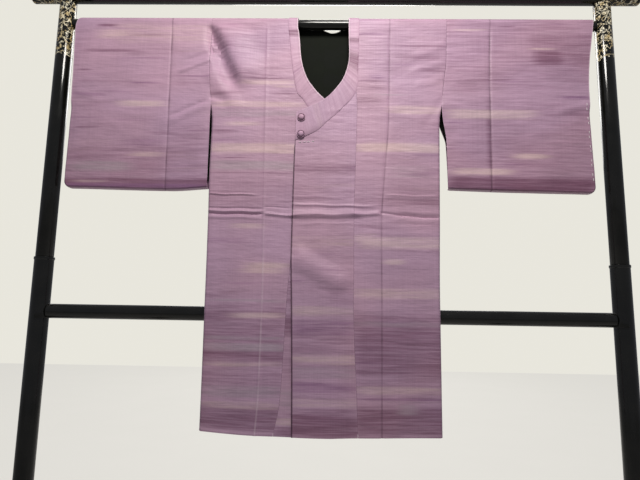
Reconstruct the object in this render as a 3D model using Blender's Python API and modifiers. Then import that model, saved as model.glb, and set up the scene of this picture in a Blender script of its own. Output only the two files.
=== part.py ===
"""Michiyuki coat hung on a kimono stand.

Metres, +Z up. The origin is on the floor, midway between the stand's feet.
The coat's fronts face -Y. Right and left in names are the wearer's, so right is at -X.
Every piece of cloth is laid out on one hung surface, by its x and by its path: the distance along
the cloth from the ridge over the rod, less than 0 down the front and more than 0 down the back.
"""

import math
from collections import namedtuple

import bmesh
import bpy
from mathutils import Matrix, Vector

# Driving sizes of the stand
POST_X = 0.688
POST_LOWER_R = 0.0215
POST_UPPER_R = 0.0200
SOCKET_LIP_R = 0.0227
SOCKET_LIP_LENGTH = 0.006
SOCKET_TOP_Z = 0.997
BEAM_R = 0.0190
BEAM_HALF_LENGTH = 0.785
BEAM_ABOVE_COAT = 0.044
ROD_R = 0.0125
RAIL_R = 0.0170
RAIL_Z = 0.868
FOOT_WIDTH = 0.052
FOOT_LENGTH = 0.480
FOOT_HEIGHT = 0.030
FOOT_EDGE = 0.006
TUBE_SIDES = 16

# Driving sizes of the cloth
COAT_TOP_Z = 1.620
GAP = 0.0003
FACE_WALL = 0.0016
LINING_WALL = 0.0010
OVER_ROD_R = ROD_R + GAP + LINING_WALL + GAP + FACE_WALL
ROD_Z = COAT_TOP_Z - OVER_ROD_R
ARCH_HALF = math.pi / 2 * OVER_ROD_R
ARCH_STEPS = 8
CENTRE_X = -0.0207
SEAM_HALF_GAP = 0.0005
LINING_SLACK = 0.0012
LINING_EDGE = 0.003
NECK_LINING_EDGE = 0.001

# Levels of the layers, outwards from the hung surface
BAND_LEVEL = 0.0008
OVERLAP_LEVEL = 0.0024
BAND_END_LEVEL = 0.0034

# Height at which the sleeve is let go of the body, and at which the cuff is sewn shut
ARMHOLE_DROP = 0.240
CUFF_DROP = 0.230

# Edges that are sewn front to back are round over this width
SIDE_ROUND = 0.013
SLEEVE_ROUND = 0.010

# The back neck: each edge of the band falls from the ridge to its lowest point, on its own curve
NECK_START = ARCH_HALF + 3 * GAP
NeckCurve = namedtuple("NeckCurve", "lowest_x half reach narrowing fall")
NECK_OUTER_RIGHT = NeckCurve(CENTRE_X, -0.0895, 0.0695, 1.6, 1.3)
NECK_OUTER_LEFT = NeckCurve(CENTRE_X, 0.0895, 0.0695, 1.6, 1.3)
NECK_INNER_RIGHT = NeckCurve(-0.002, -0.0840, 0.0387, 1.0, 1.2)
NECK_INNER_LEFT = NeckCurve(-0.002, 0.0445, 0.0387, 2.35, 1.2)
NECK_STEPS = 12

# Half the hung cloth's depth, and how far it leans forward so that the body clears the middle rail
Hang = namedtuple("Hang", "drop depth lean")
BODY_HANG = [
    Hang(OVER_ROD_R, OVER_ROD_R, 0.0),
    Hang(0.240, 0.0155, 0.008),
    Hang(0.500, 0.0140, 0.022),
    Hang(0.755, 0.0140, 0.036),
    Hang(1.020, 0.0150, 0.038),
]
SLEEVE_HANG = [
    Hang(OVER_ROD_R, OVER_ROD_R, 0.0),
    Hang(0.240, 0.0155, 0.008),
    Hang(0.330, 0.0140, 0.009),
    Hang(0.460, 0.0120, 0.010),
]

# Side edges of the body and the seam of its front, by depth below the ridge
BodyEdge = namedtuple("BodyEdge", "drop inner outer")
BODY_RIGHT_EDGES = [
    BodyEdge(0.000, -0.1107, -0.3095),
    BodyEdge(0.030, -0.1100, -0.3085),
    BodyEdge(0.060, -0.1067, -0.3075),
    BodyEdge(0.131, -0.0987, -0.3050),
    BodyEdge(0.203, -0.0857, -0.3000),
    BodyEdge(0.226, -0.0690, -0.2970),
    BodyEdge(0.240, -0.0598, -0.2955),
    BodyEdge(0.247, -0.0552, -0.2945),
    BodyEdge(0.275, -0.0577, -0.2935),
    BodyEdge(0.320, -0.0616, -0.2930),
    BodyEdge(0.390, -0.0677, -0.2925),
    BodyEdge(0.520, -0.0790, -0.2912),
    BodyEdge(0.700, -0.0933, -0.2873),
    BodyEdge(0.940, -0.1042, -0.2848),
    BodyEdge(1.020, -0.1175, -0.2842),
]
BODY_LEFT_EDGES = [
    BodyEdge(0.000, 0.0693, 0.2902),
    BodyEdge(0.030, 0.0693, 0.2885),
    BodyEdge(0.060, 0.0687, 0.2873),
    BodyEdge(0.131, 0.0673, 0.2840),
    BodyEdge(0.167, 0.0651, 0.2790),
    BodyEdge(0.203, 0.0629, 0.2745),
    BodyEdge(0.226, 0.0636, 0.2722),
    BodyEdge(0.240, 0.0643, 0.2707),
    BodyEdge(0.247, 0.0646, 0.2697),
    BodyEdge(0.275, 0.0641, 0.2672),
    BodyEdge(0.320, 0.0630, 0.2660),
    BodyEdge(0.390, 0.0613, 0.2643),
    BodyEdge(0.520, 0.0581, 0.2610),
    BodyEdge(0.718, 0.0576, 0.2552),
    BodyEdge(0.940, 0.0661, 0.2545),
    BodyEdge(1.020, 0.0688, 0.2544),
]

# Sleeve edges: inner at the body, further in on the back, which shows as the slit's dark strip
SleeveEdge = namedtuple("SleeveEdge", "drop inner inner_back outer")
SLEEVE_RIGHT_EDGES = [
    SleeveEdge(0.000, -0.3099, -0.3099, -0.6400),
    SleeveEdge(0.006, -0.3097, -0.3097, -0.6480),
    SleeveEdge(0.016, -0.3094, -0.3094, -0.6530),
    SleeveEdge(0.030, -0.3089, -0.3089, -0.6550),
    SleeveEdge(0.131, -0.3054, -0.3054, -0.6502),
    SleeveEdge(0.203, -0.3004, -0.3004, -0.6470),
    SleeveEdge(0.240, -0.2959, -0.2959, -0.6458),
    SleeveEdge(0.275, -0.2968, -0.2955, -0.6470),
    SleeveEdge(0.440, -0.2965, -0.2950, -0.6482),
]
SLEEVE_LEFT_EDGES = [
    SleeveEdge(0.000, 0.2906, 0.2906, 0.6582),
    SleeveEdge(0.030, 0.2889, 0.2889, 0.6530),
    SleeveEdge(0.060, 0.2877, 0.2877, 0.6480),
    SleeveEdge(0.131, 0.2844, 0.2844, 0.6330),
    SleeveEdge(0.167, 0.2794, 0.2794, 0.6250),
    SleeveEdge(0.203, 0.2749, 0.2749, 0.6222),
    SleeveEdge(0.240, 0.2711, 0.2711, 0.6220),
    SleeveEdge(0.275, 0.2735, 0.2700, 0.6270),
    SleeveEdge(0.330, 0.2813, 0.2760, 0.6300),
    SleeveEdge(0.440, 0.2835, 0.2800, 0.6355),
]
SLEEVE_CORNER_R = 0.018

Hem = namedtuple("Hem", "x drop")
BODY_HEM = [
    Hem(-0.284, 1.0045),
    Hem(-0.140, 1.0135),
    Hem(0.000, 1.0153),
    Hem(0.069, 1.0125),
    Hem(0.254, 1.0100),
]
SLEEVE_RIGHT_HEM = [Hem(-0.650, 0.4545), Hem(-0.389, 0.4585), Hem(-0.296, 0.4520)]
SLEEVE_LEFT_HEM = [Hem(0.283, 0.4490), Hem(0.457, 0.4535), Hem(0.636, 0.4555)]

# The neck band: both edges and how far it is lifted, from the shoulder to the end that laps
BandRow = namedtuple("BandRow", "inner_x inner_drop outer_x outer_drop level")
BAND_LEFT = [
    BandRow(0.0425, 0.030, 0.0690, 0.030, BAND_LEVEL),
    BandRow(0.0430, 0.060, 0.0684, 0.060, BAND_LEVEL),
    BandRow(0.0433, 0.120, 0.0670, 0.131, 0.0014),
    BandRow(0.0315, 0.166, 0.0626, 0.203, 0.0026),
    BandRow(0.0118, 0.198, 0.0284, 0.249, BAND_END_LEVEL),
    BandRow(-0.0147, 0.225, -0.0058, 0.282, BAND_END_LEVEL),
    BandRow(-0.0548, 0.247, -0.0361, 0.310, BAND_END_LEVEL),
    BandRow(-0.0841, 0.260, -0.0850, 0.333, BAND_END_LEVEL),
]
BAND_RIGHT = [
    BandRow(-0.0860, 0.030, -0.1097, 0.030, BAND_LEVEL),
    BandRow(-0.0810, 0.060, -0.1064, 0.060, BAND_LEVEL),
    BandRow(-0.0747, 0.121, -0.0984, 0.131, BAND_LEVEL),
    BandRow(-0.0608, 0.167, -0.0854, 0.203, 0.0006),
    BandRow(-0.0382, 0.201, -0.0687, 0.226, 0.0003),
    BandRow(-0.0147, 0.225, -0.0549, 0.247, 0.0),
    BandRow(0.0118, 0.245, -0.0250, 0.277, 0.0),
    BandRow(0.0400, 0.260, 0.0060, 0.305, 0.0),
    BandRow(0.0540, 0.268, 0.0480, 0.333, 0.0),
]

# Creases of the folded coat: two cross ridges, and one crease down each piece
Ridge = namedtuple("Ridge", "drop height half_width")
STORAGE_RIDGES = [Ridge(0.460, 0.0008, 0.012), Ridge(0.494, 0.0032, 0.010), Ridge(0.511, 0.0018, 0.008)]
CreaseLine = namedtuple("CreaseLine", "drop x")
CREASE_BODY_RIGHT = [
    CreaseLine(0.00, -0.173),
    CreaseLine(0.36, -0.153),
    CreaseLine(0.52, -0.149),
    CreaseLine(0.72, -0.132),
    CreaseLine(1.02, -0.140),
]
CREASE_BODY_LEFT = [
    CreaseLine(0.00, 0.1415),
    CreaseLine(0.28, 0.134),
    CreaseLine(0.52, 0.121),
    CreaseLine(1.02, 0.1185),
]
CREASE_SLEEVE_RIGHT = [CreaseLine(0.0, -0.4065), CreaseLine(0.46, -0.398)]
CREASE_SLEEVE_LEFT = [CreaseLine(0.0, 0.3985), CreaseLine(0.46, 0.3865)]
CREASE_HALF = 0.007

# Drag folds that fan down from the armholes, on the front
Drag = namedtuple("Drag", "x drop end_x end_drop height half_width")
DRAG_FOLDS = [
    Drag(-0.296, 0.056, -0.197, 0.228, -0.0008, 0.020),
    Drag(-0.295, 0.097, -0.206, 0.247, 0.0036, 0.020),
    Drag(0.276, 0.105, 0.193, 0.144, 0.0020, 0.018),
    Drag(0.275, 0.154, 0.204, 0.181, 0.0018, 0.018),
]

# Rows of the cloth below the rod
BODY_ROWS = [0.030, 0.060, 0.095, 0.131, 0.167, 0.203, 0.226, 0.240, 0.247, 0.275, 0.320, 0.390,
             0.455, 0.484, 0.494, 0.503, 0.511, 0.519, 0.560, 0.640, 0.720, 0.800, 0.880, 0.940,
             1.018]
BODY_BACK_ROWS = [0.095, 0.131, 0.167, 0.203, 0.240, 0.275, 0.320, 0.390, 0.455, 0.484, 0.494,
                  0.503, 0.511, 0.519, 0.560, 0.640, 0.720, 0.800, 0.880, 0.940, 1.018]
SLEEVE_ROWS = [0.030, 0.060, 0.095, 0.131, 0.167, 0.203, 0.240, 0.275, 0.330, 0.390, 0.430]
LINING_ROWS = [0.030, 0.060, 0.131, 0.203, 0.240, 0.320, 0.390, 0.503, 0.640, 0.720, 0.800, 0.880,
               0.975]
SLEEVE_LINING_ROWS = [0.030, 0.060, 0.131, 0.203, 0.240, 0.275, 0.330, 0.390, 0.430]
HEM_BLEND_FROM = 0.935

# Buttons
BUTTON_R = 0.0100
BUTTON_HEIGHT = 0.0075
BUTTON_X = -0.0715
BUTTON_UPPER_DROP = 0.275
BUTTON_LOWER_DROP = 0.318


def clear_scene():
    for obj in list(bpy.data.objects):
        bpy.data.objects.remove(obj, do_unlink=True)


def new_collection(name):
    collection = bpy.data.collections.new(name)
    bpy.context.scene.collection.children.link(collection)
    return collection


def principled(name, colour, roughness, metallic=0.0):
    material = bpy.data.materials.new(name)
    material.use_nodes = True
    shader = material.node_tree.nodes["Principled BSDF"]
    shader.inputs["Base Color"].default_value = (*colour, 1.0)
    shader.inputs["Roughness"].default_value = roughness
    shader.inputs["Metallic"].default_value = metallic
    return material


def interpolate(rows, at, key, value):
    """Value of the named column where the key column reaches `at`, in straight runs between rows."""
    previous = rows[0]
    for row in rows:
        if getattr(row, key) >= at:
            span = getattr(row, key) - getattr(previous, key)
            share = (at - getattr(previous, key)) / span if span else 0.0
            return getattr(previous, value) + share * (getattr(row, value) - getattr(previous, value))
        previous = row
    return getattr(rows[-1], value)


def smooth(at, low, high):
    share = min(max((at - low) / (high - low), 0.0), 1.0)
    return share * share * (3 - 2 * share)


def path_of(drop, side):
    return side * (ARCH_HALF + drop - OVER_ROD_R)


def drop_of(path):
    if abs(path) <= ARCH_HALF:
        return OVER_ROD_R * (1 - math.cos(path / OVER_ROD_R))
    return OVER_ROD_R + abs(path) - ARCH_HALF


def arch_paths():
    return [-ARCH_HALF + 2 * ARCH_HALF * step / ARCH_STEPS for step in range(ARCH_STEPS + 1)]


def drag_height(x, drop):
    total = 0.0
    for fold in DRAG_FOLDS:
        run = Vector((fold.end_x - fold.x, fold.end_drop - fold.drop))
        offset = Vector((x - fold.x, drop - fold.drop))
        along = min(max(offset.dot(run) / run.length_squared, 0.0), 1.0)
        away = (offset - along * run).length / fold.half_width
        if away < 1:
            total += fold.height * (1 - away * away) ** 2 * (1 - 0.6 * along)
    return total


def storage_height(drop):
    heights = [r.height * max(0.0, 1 - abs(drop - r.drop) / r.half_width) for r in STORAGE_RIDGES]
    return sum(heights)


def wave_height(x, drop, side):
    """Slow waves of the hanging cloth, which grow towards the hem."""
    grown = smooth(drop, 0.05, 0.35)
    height = 0.0005 + 0.0010 * drop
    slow = math.sin(2 * math.pi * x / 0.34 + 1.1 * side + 0.9 * drop)
    quick = math.sin(2 * math.pi * x / 0.17 - 0.8 * side + 2.3 * drop)
    return grown * height * (slow + 0.45 * quick)


def cloth_point(x, path, level=0.0, hang=BODY_HANG, fullness=1.0, creased=0.0, ridged=False,
                dragged=True):
    """Point `level` outside the hung surface. fullness is 1 on open cloth and 0 at a sewn edge."""
    if abs(path) <= ARCH_HALF:
        angle = path / OVER_ROD_R
        radius = OVER_ROD_R + level
        return Vector((x, radius * math.sin(angle), ROD_Z + radius * math.cos(angle)))
    side = math.copysign(1, path)
    drop = drop_of(path)
    depth = interpolate(hang, drop, "drop", "depth") + level
    depth += wave_height(x, drop, side) + creased * smooth(drop, OVER_ROD_R, 0.06)
    if dragged and side < 0:
        depth += drag_height(x, drop)
    if ridged:
        depth += storage_height(drop)
    depth = SEAM_HALF_GAP + (depth - SEAM_HALF_GAP) * fullness
    return Vector((x, side * depth - interpolate(hang, drop, "drop", "lean"), COAT_TOP_Z - drop))


def roundness(distance, width):
    """0 at a sewn edge, rising on a quarter circle to 1 at `width` from it."""
    if distance >= width:
        return 1.0
    return math.sqrt(max(0.0, 1 - (1 - distance / width) ** 2))


def wall(name, rows, thickness, material, collection):
    """A cloth wall whose outer face goes through the rows of points, its thickness set inwards."""
    mesh = bpy.data.meshes.new(name)
    bm = bmesh.new()
    grid = [[bm.verts.new(point) for point in row] for row in rows]
    for lower, upper in zip(grid, grid[1:]):
        for left in range(len(lower) - 1):
            bm.faces.new((lower[left], lower[left + 1], upper[left + 1], upper[left]))
    bm.normal_update()
    outwards = sum(face.normal.y * face.calc_center_median().y for face in bm.faces)
    if outwards < 0:
        bmesh.ops.reverse_faces(bm, faces=bm.faces)
    bm.to_mesh(mesh)
    bm.free()
    mesh.shade_smooth()
    obj = bpy.data.objects.new(name, mesh)
    collection.objects.link(obj)
    mesh.materials.append(material)
    solidify = obj.modifiers.new("Wall", "SOLIDIFY")
    solidify.thickness = thickness
    solidify.offset = -1.0
    solidify.use_even_offset = True
    return obj


def columns_across(inner, crease, outer, edge_steps):
    """x of each column from the inner edge over the crease to the outer edge, with its crease share."""
    towards = math.copysign(1, outer - inner)
    near = crease - towards * CREASE_HALF
    far = crease + towards * CREASE_HALF
    last = outer - towards * edge_steps[0]
    columns = [(inner, 0.0), ((inner + near) / 2, 0.0), (near, 0.0), (crease, 1.0), (far, 0.0)]
    columns.append((far + (last - far) / 2, 0.0))
    columns += [(outer - towards * step, 0.0) for step in edge_steps]
    return columns


def neck_x(curve, path):
    """x of an edge of the neck band on the back, where the cloth has run `path` from the ridge."""
    share = min(max(path / curve.reach, 0.0), 1.0)
    return curve.lowest_x + curve.half * (1 - share**curve.fall) ** (1 / curve.narrowing)


def neck_point(curve, share):
    """x and path on the back, `share` of the way from the arch's end to the curve's lowest point."""
    path = NECK_START + share * (curve.reach - NECK_START)
    return neck_x(curve, path), path


def body_inner_edge(edges, path):
    """x of a body piece's inner edge: the front seam, the neck, then the centre back seam."""
    towards = math.copysign(1, edges[0].inner - CENTRE_X)
    if path <= 0:
        return interpolate(edges, drop_of(path), "drop", "inner")
    curve = NECK_OUTER_RIGHT if towards < 0 else NECK_OUTER_LEFT
    if path >= curve.reach + GAP:
        return CENTRE_X + towards * GAP / 2
    return neck_x(curve, path - GAP) + towards * 2 * GAP


def hem_drop(hem, x, drop, blend_from, lowest):
    """Depth of a row after its lower part is stretched to follow the hem line."""
    if drop <= blend_from:
        return drop
    share = (drop - blend_from) / (lowest - blend_from)
    return blend_from + share * (interpolate(hem, x, "x", "drop") - blend_from)


def neck_angles():
    return [math.pi * step / NECK_STEPS for step in range(1, NECK_STEPS // 2 + 1)]


def body_paths():
    front = [path_of(drop, -1) for drop in reversed(BODY_ROWS)]
    reach = NECK_OUTER_LEFT.reach + 2 * GAP - NECK_START
    neck = [NECK_START + reach * math.sin(angle) for angle in neck_angles()]
    back = [path_of(drop, 1) for drop in BODY_BACK_ROWS]
    return front + arch_paths() + neck + back


def left_front_level(x, drop):
    """The left front rises to lie on the right one near their overlap."""
    return OVERLAP_LEVEL * smooth(-x, -0.190, -0.085) * smooth(drop, 0.10, 0.20)


def body_piece(name, edges, crease, crease_height, material, collection):
    rows = []
    for path in body_paths():
        drop = drop_of(path)
        closed = smooth(drop, ARMHOLE_DROP, 0.300)
        outer = interpolate(edges, drop, "drop", "outer")
        crease_x = interpolate(crease, drop, "drop", "x")
        row = []
        edge_steps = [SIDE_ROUND, SIDE_ROUND * 0.55, SIDE_ROUND * 0.25, SIDE_ROUND * 0.06, 0.0]
        for x, creased in columns_across(body_inner_edge(edges, path), crease_x, outer, edge_steps):
            fullness = 1 - closed * (1 - roundness(abs(outer - x), SIDE_ROUND))
            level = left_front_level(x, drop) if path < 0 and x > 0 else 0.0
            side = math.copysign(1, path)
            row_path = path
            if drop > HEM_BLEND_FROM:
                row_path = path_of(hem_drop(BODY_HEM, x, drop, HEM_BLEND_FROM, BODY_ROWS[-1]), side)
            row.append(cloth_point(x, row_path, level, BODY_HANG, fullness, creased * crease_height, True))
        rows.append(row)
    return wall(name, rows, FACE_WALL, material, collection)


def sleeve_piece(name, edges, hem, crease, crease_height, material, collection):
    """Sleeve wall: open at the body end and at the cuff, sewn at the bottom and below the cuff."""
    lowest = SLEEVE_ROWS[-1]
    bottoms = [0.0, SLEEVE_ROUND * 0.06, SLEEVE_ROUND * 0.25, SLEEVE_ROUND * 0.55, SLEEVE_ROUND]
    front = [(path_of(drop, -1), None) for drop in reversed(SLEEVE_ROWS)]
    back = [(path_of(drop, 1), None) for drop in SLEEVE_ROWS]
    front_bottom = [(-1.0, above) for above in bottoms]
    back_bottom = [(1.0, above) for above in reversed(bottoms)]
    arch = [(path, None) for path in arch_paths()]
    towards = math.copysign(1, edges[0].outer - edges[0].inner)
    rows = []
    for path, above_hem in front_bottom + front + arch + back + back_bottom:
        side = math.copysign(1, path)
        drop = drop_of(path) if above_hem is None else lowest
        closed = smooth(drop, CUFF_DROP, 0.270)
        inner = interpolate(edges, drop, "drop", "inner" if side < 0 else "inner_back")
        outer = interpolate(edges, drop, "drop", "outer")
        crease_x = interpolate(crease, drop, "drop", "x")
        row = []
        edge_steps = [SLEEVE_ROUND * 1.6, SLEEVE_ROUND, SLEEVE_ROUND * 0.55, SLEEVE_ROUND * 0.25,
                      SLEEVE_ROUND * 0.06, 0.0]
        for x, creased in columns_across(inner, crease_x, outer, edge_steps):
            bottom = interpolate(hem, x, "x", "drop")
            from_edge = abs(outer - x)
            if above_hem is None:
                at = drop
                fullness = 1 - closed * (1 - roundness(from_edge, SLEEVE_ROUND))
            else:
                at = bottom - above_hem
                sides = roundness(from_edge, SLEEVE_ROUND)
                fullness = sides * roundness(above_hem, SLEEVE_ROUND)
            pulled = corner_pull(from_edge, bottom - at) if at > ARMHOLE_DROP else 0.0
            row_path = path if above_hem is None and at <= lowest - 0.03 else path_of(at, side)
            height = creased * crease_height
            row.append(cloth_point(x - towards * pulled, row_path, 0.0, SLEEVE_HANG, fullness, height))
        rows.append(row)
    return wall(name, rows, FACE_WALL, material, collection)


def corner_pull(from_edge, above_hem):
    """How far the sleeve's round corner draws a point in from the straight edge."""
    if above_hem >= SLEEVE_CORNER_R:
        return 0.0
    reach = SLEEVE_CORNER_R - math.sqrt(SLEEVE_CORNER_R**2 - (SLEEVE_CORNER_R - above_hem) ** 2)
    return reach * max(0.0, 1 - from_edge / (3 * SLEEVE_CORNER_R))


def band_rows(table, inner_curve, outer_curve):
    """Both edges of the neck band, from its lapped end up to the shoulder and over the rod."""
    rows = []
    for row in reversed(table):
        inner = (row.inner_x, path_of(row.inner_drop, -1))
        outer = (row.outer_x, path_of(row.outer_drop, -1))
        rows.append((inner, outer, row.level))
    for path in arch_paths():
        inner = table[0].inner_x if path <= 0 else neck_x(inner_curve, path)
        outer = table[0].outer_x if path <= 0 else neck_x(outer_curve, path)
        rows.append(((inner, path), (outer, path), BAND_LEVEL))
    return rows


def band_piece(name, rows, material, collection):
    points = []
    for inner, outer, level in rows:
        middle = ((inner[0] + outer[0]) / 2, (inner[1] + outer[1]) / 2)
        points.append([cloth_point(x, path, level) for x, path in (inner, middle, outer)])
    return wall(name, points, FACE_WALL, material, collection)


def back_band_piece(name, material, collection):
    shares = [0.0] + [math.sin(angle) for angle in neck_angles()]
    right = [(neck_point(NECK_INNER_RIGHT, share), neck_point(NECK_OUTER_RIGHT, share), BAND_LEVEL)
             for share in shares]
    left = [(neck_point(NECK_INNER_LEFT, share), neck_point(NECK_OUTER_LEFT, share), BAND_LEVEL)
            for share in reversed(shares[:-1])]
    return band_piece(name, right + left, material, collection)


def overlap_piece(name, band, edges, free_x, free_hem_x, level, material, collection):
    """Front panel from the neck band's lower edge to the hem, between its seam and its free edge."""
    tops = [(row.outer_x, row.outer_drop + 2 * GAP) for row in band]
    towards = math.copysign(1, free_x - band[0].outer_x)
    straight = [drop for drop in BODY_ROWS if drop > band[-1].outer_drop + 0.02]
    rows = []
    for number in range(len(straight) + 2):
        row = []
        for top_x, top_drop in tops:
            share = (top_x - tops[0][0]) / (tops[-1][0] - tops[0][0])
            at = ([top_drop, (top_drop + straight[0]) / 2] + straight)[number]
            seam = interpolate(edges, at, "drop", "inner") + towards * GAP
            free = free_x + (free_hem_x - free_x) * smooth(at, band[-1].outer_drop, BODY_ROWS[-1])
            x = top_x if number == 0 and share > 0 else seam + share * (free - seam)
            if at > HEM_BLEND_FROM:
                at = hem_drop(BODY_HEM, x, at, HEM_BLEND_FROM, BODY_ROWS[-1])
            row.append(cloth_point(x, path_of(at, -1), level, ridged=True))
        rows.append(row)
    return wall(name, rows, FACE_WALL, material, collection)


def lining_level(drop):
    """The lining lies against the face cloth over the rod and hangs a little free of it below."""
    return -(FACE_WALL + GAP + LINING_SLACK * smooth(drop, OVER_ROD_R, 0.055))


def even_columns(inner, outer, count):
    return [inner + (outer - inner) * step / (count - 1) for step in range(count)]


def lining_body_piece(name, edges, material, collection):
    towards = math.copysign(1, edges[0].inner - CENTRE_X)
    curve = NECK_INNER_RIGHT if towards < 0 else NECK_INNER_LEFT
    stations = []
    for path in [path_of(drop, -1) for drop in reversed(LINING_ROWS)] + arch_paths():
        seam = interpolate(edges, drop_of(path), "drop", "inner") + towards * LINING_EDGE
        stations.append((path, seam if path <= 0 else neck_x(curve, path - NECK_LINING_EDGE)))
    for share in (0.3, 0.6, 0.8, 0.9, 1.0):
        x, path = neck_point(curve, share)
        stations.append((path + NECK_LINING_EDGE, x + towards * GAP))
    stations.append((curve.reach + LINING_EDGE, CENTRE_X + towards * GAP))
    for drop in [0.060] + [drop for drop in LINING_ROWS if drop > 0.07]:
        stations.append((path_of(drop, 1), CENTRE_X + towards * GAP))
    rows = []
    for path, inner in stations:
        drop = drop_of(path)
        closed = smooth(drop, ARMHOLE_DROP - 0.04, 0.280)
        inset = LINING_EDGE + closed * SIDE_ROUND * 1.2
        outer = interpolate(edges, drop, "drop", "outer") - towards * inset
        level = lining_level(drop)
        rows.append([cloth_point(x, path, level, dragged=False) for x in even_columns(inner, outer, 7)])
    return wall(name, rows, LINING_WALL, material, collection)


def lining_sleeve_piece(name, edges, material, collection):
    towards = math.copysign(1, edges[0].outer - edges[0].inner)
    front = [path_of(drop, -1) for drop in reversed(SLEEVE_LINING_ROWS)]
    back = [path_of(drop, 1) for drop in SLEEVE_LINING_ROWS]
    rows = []
    for path in front + arch_paths() + back:
        drop = drop_of(path)
        closed = smooth(drop, CUFF_DROP - 0.04, 0.260)
        slit = smooth(drop, ARMHOLE_DROP, 0.270) if path > 0 else 0.0
        inner = interpolate(edges, drop, "drop", "inner_back" if path > 0 else "inner")
        inner += towards * (LINING_EDGE * (1 - slit) + 0.0005 * slit)
        inset = LINING_EDGE + closed * SLEEVE_ROUND * 1.2
        outer = interpolate(edges, drop, "drop", "outer") - towards * inset
        level = lining_level(drop)
        columns = even_columns(inner, outer, 7)
        rows.append([cloth_point(x, path, level, SLEEVE_HANG, dragged=False) for x in columns])
    return wall(name, rows, LINING_WALL, material, collection)


def turned(name, profile, location, rotation, material, collection):
    """A turned piece: its profile runs from the top down its outer side to the bottom."""
    mesh = bpy.data.meshes.new(name)
    edges = [(index, index + 1) for index in range(len(profile) - 1)]
    mesh.from_pydata([(radius, 0.0, height) for radius, height in profile], edges, [])
    obj = bpy.data.objects.new(name, mesh)
    collection.objects.link(obj)
    obj.location = location
    obj.rotation_euler = rotation
    mesh.materials.append(material)
    screw = obj.modifiers.new("Turn", "SCREW")
    screw.steps = TUBE_SIDES
    screw.render_steps = TUBE_SIDES
    screw.use_merge_vertices = True
    screw.merge_threshold = 1e-5
    return obj


def button(name, drop, material, collection):
    """Covered dome button, its foot on the neck band."""
    seat = cloth_point(BUTTON_X, path_of(drop, -1), BAND_END_LEVEL + 2 * GAP)
    profile = [
        (0.0, BUTTON_HEIGHT),
        (BUTTON_R * 0.45, BUTTON_HEIGHT * 0.92),
        (BUTTON_R * 0.80, BUTTON_HEIGHT * 0.68),
        (BUTTON_R, BUTTON_HEIGHT * 0.32),
        (BUTTON_R * 0.93, BUTTON_HEIGHT * 0.08),
        (BUTTON_R * 0.60, 0.0),
        (0.0, 0.0),
    ]
    return turned(name, profile, seat, (math.pi / 2, 0.0, 0.0), material, collection)


def tube(name, start, end, radius, material, collection):
    curve = bpy.data.curves.new(name, "CURVE")
    curve.dimensions = "3D"
    spline = curve.splines.new("POLY")
    spline.points.add(1)
    spline.points[0].co = (*start, 1.0)
    spline.points[1].co = (*end, 1.0)
    curve.bevel_depth = radius
    curve.bevel_resolution = (TUBE_SIDES - 4) // 2
    curve.use_fill_caps = True
    obj = bpy.data.objects.new(name, curve)
    collection.objects.link(obj)
    curve.materials.append(material)
    return obj


def post(side_name, x, material, collection):
    """A lower length with a lipped socket, and the slimmer upper length that stands in it."""
    lower_base = FOOT_HEIGHT + GAP
    beam_bottom = COAT_TOP_Z + BEAM_ABOVE_COAT
    lower = [
        (0.0, SOCKET_TOP_Z),
        (SOCKET_LIP_R - 0.0008, SOCKET_TOP_Z),
        (SOCKET_LIP_R, SOCKET_TOP_Z - 0.0010),
        (SOCKET_LIP_R, SOCKET_TOP_Z - SOCKET_LIP_LENGTH),
        (POST_LOWER_R, SOCKET_TOP_Z - SOCKET_LIP_LENGTH - 0.0015),
        (POST_LOWER_R, lower_base),
        (0.0, lower_base),
    ]
    upper = [
        (0.0, beam_bottom - GAP),
        (POST_UPPER_R, beam_bottom - GAP),
        (POST_UPPER_R, SOCKET_TOP_Z + GAP),
        (0.0, SOCKET_TOP_Z + GAP),
    ]
    turned("post_lower_" + side_name, lower, (x, 0.0, 0.0), (0.0, 0.0, 0.0), material, collection)
    turned("post_upper_" + side_name, upper, (x, 0.0, 0.0), (0.0, 0.0, 0.0), material, collection)


def foot(name, x, material, collection):
    """Bar foot that lies front to back under its post."""
    mesh = bpy.data.meshes.new(name)
    bm = bmesh.new()
    size = Matrix.Diagonal((FOOT_WIDTH, FOOT_LENGTH, FOOT_HEIGHT, 1.0))
    place = Matrix.Translation((x, 0.0, FOOT_HEIGHT / 2))
    bmesh.ops.create_cube(bm, size=1.0, matrix=place @ size)
    bm.to_mesh(mesh)
    bm.free()
    obj = bpy.data.objects.new(name, mesh)
    collection.objects.link(obj)
    mesh.materials.append(material)
    bevel = obj.modifiers.new("Edges", "BEVEL")
    bevel.width = FOOT_EDGE
    bevel.segments = 2
    return obj


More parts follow.
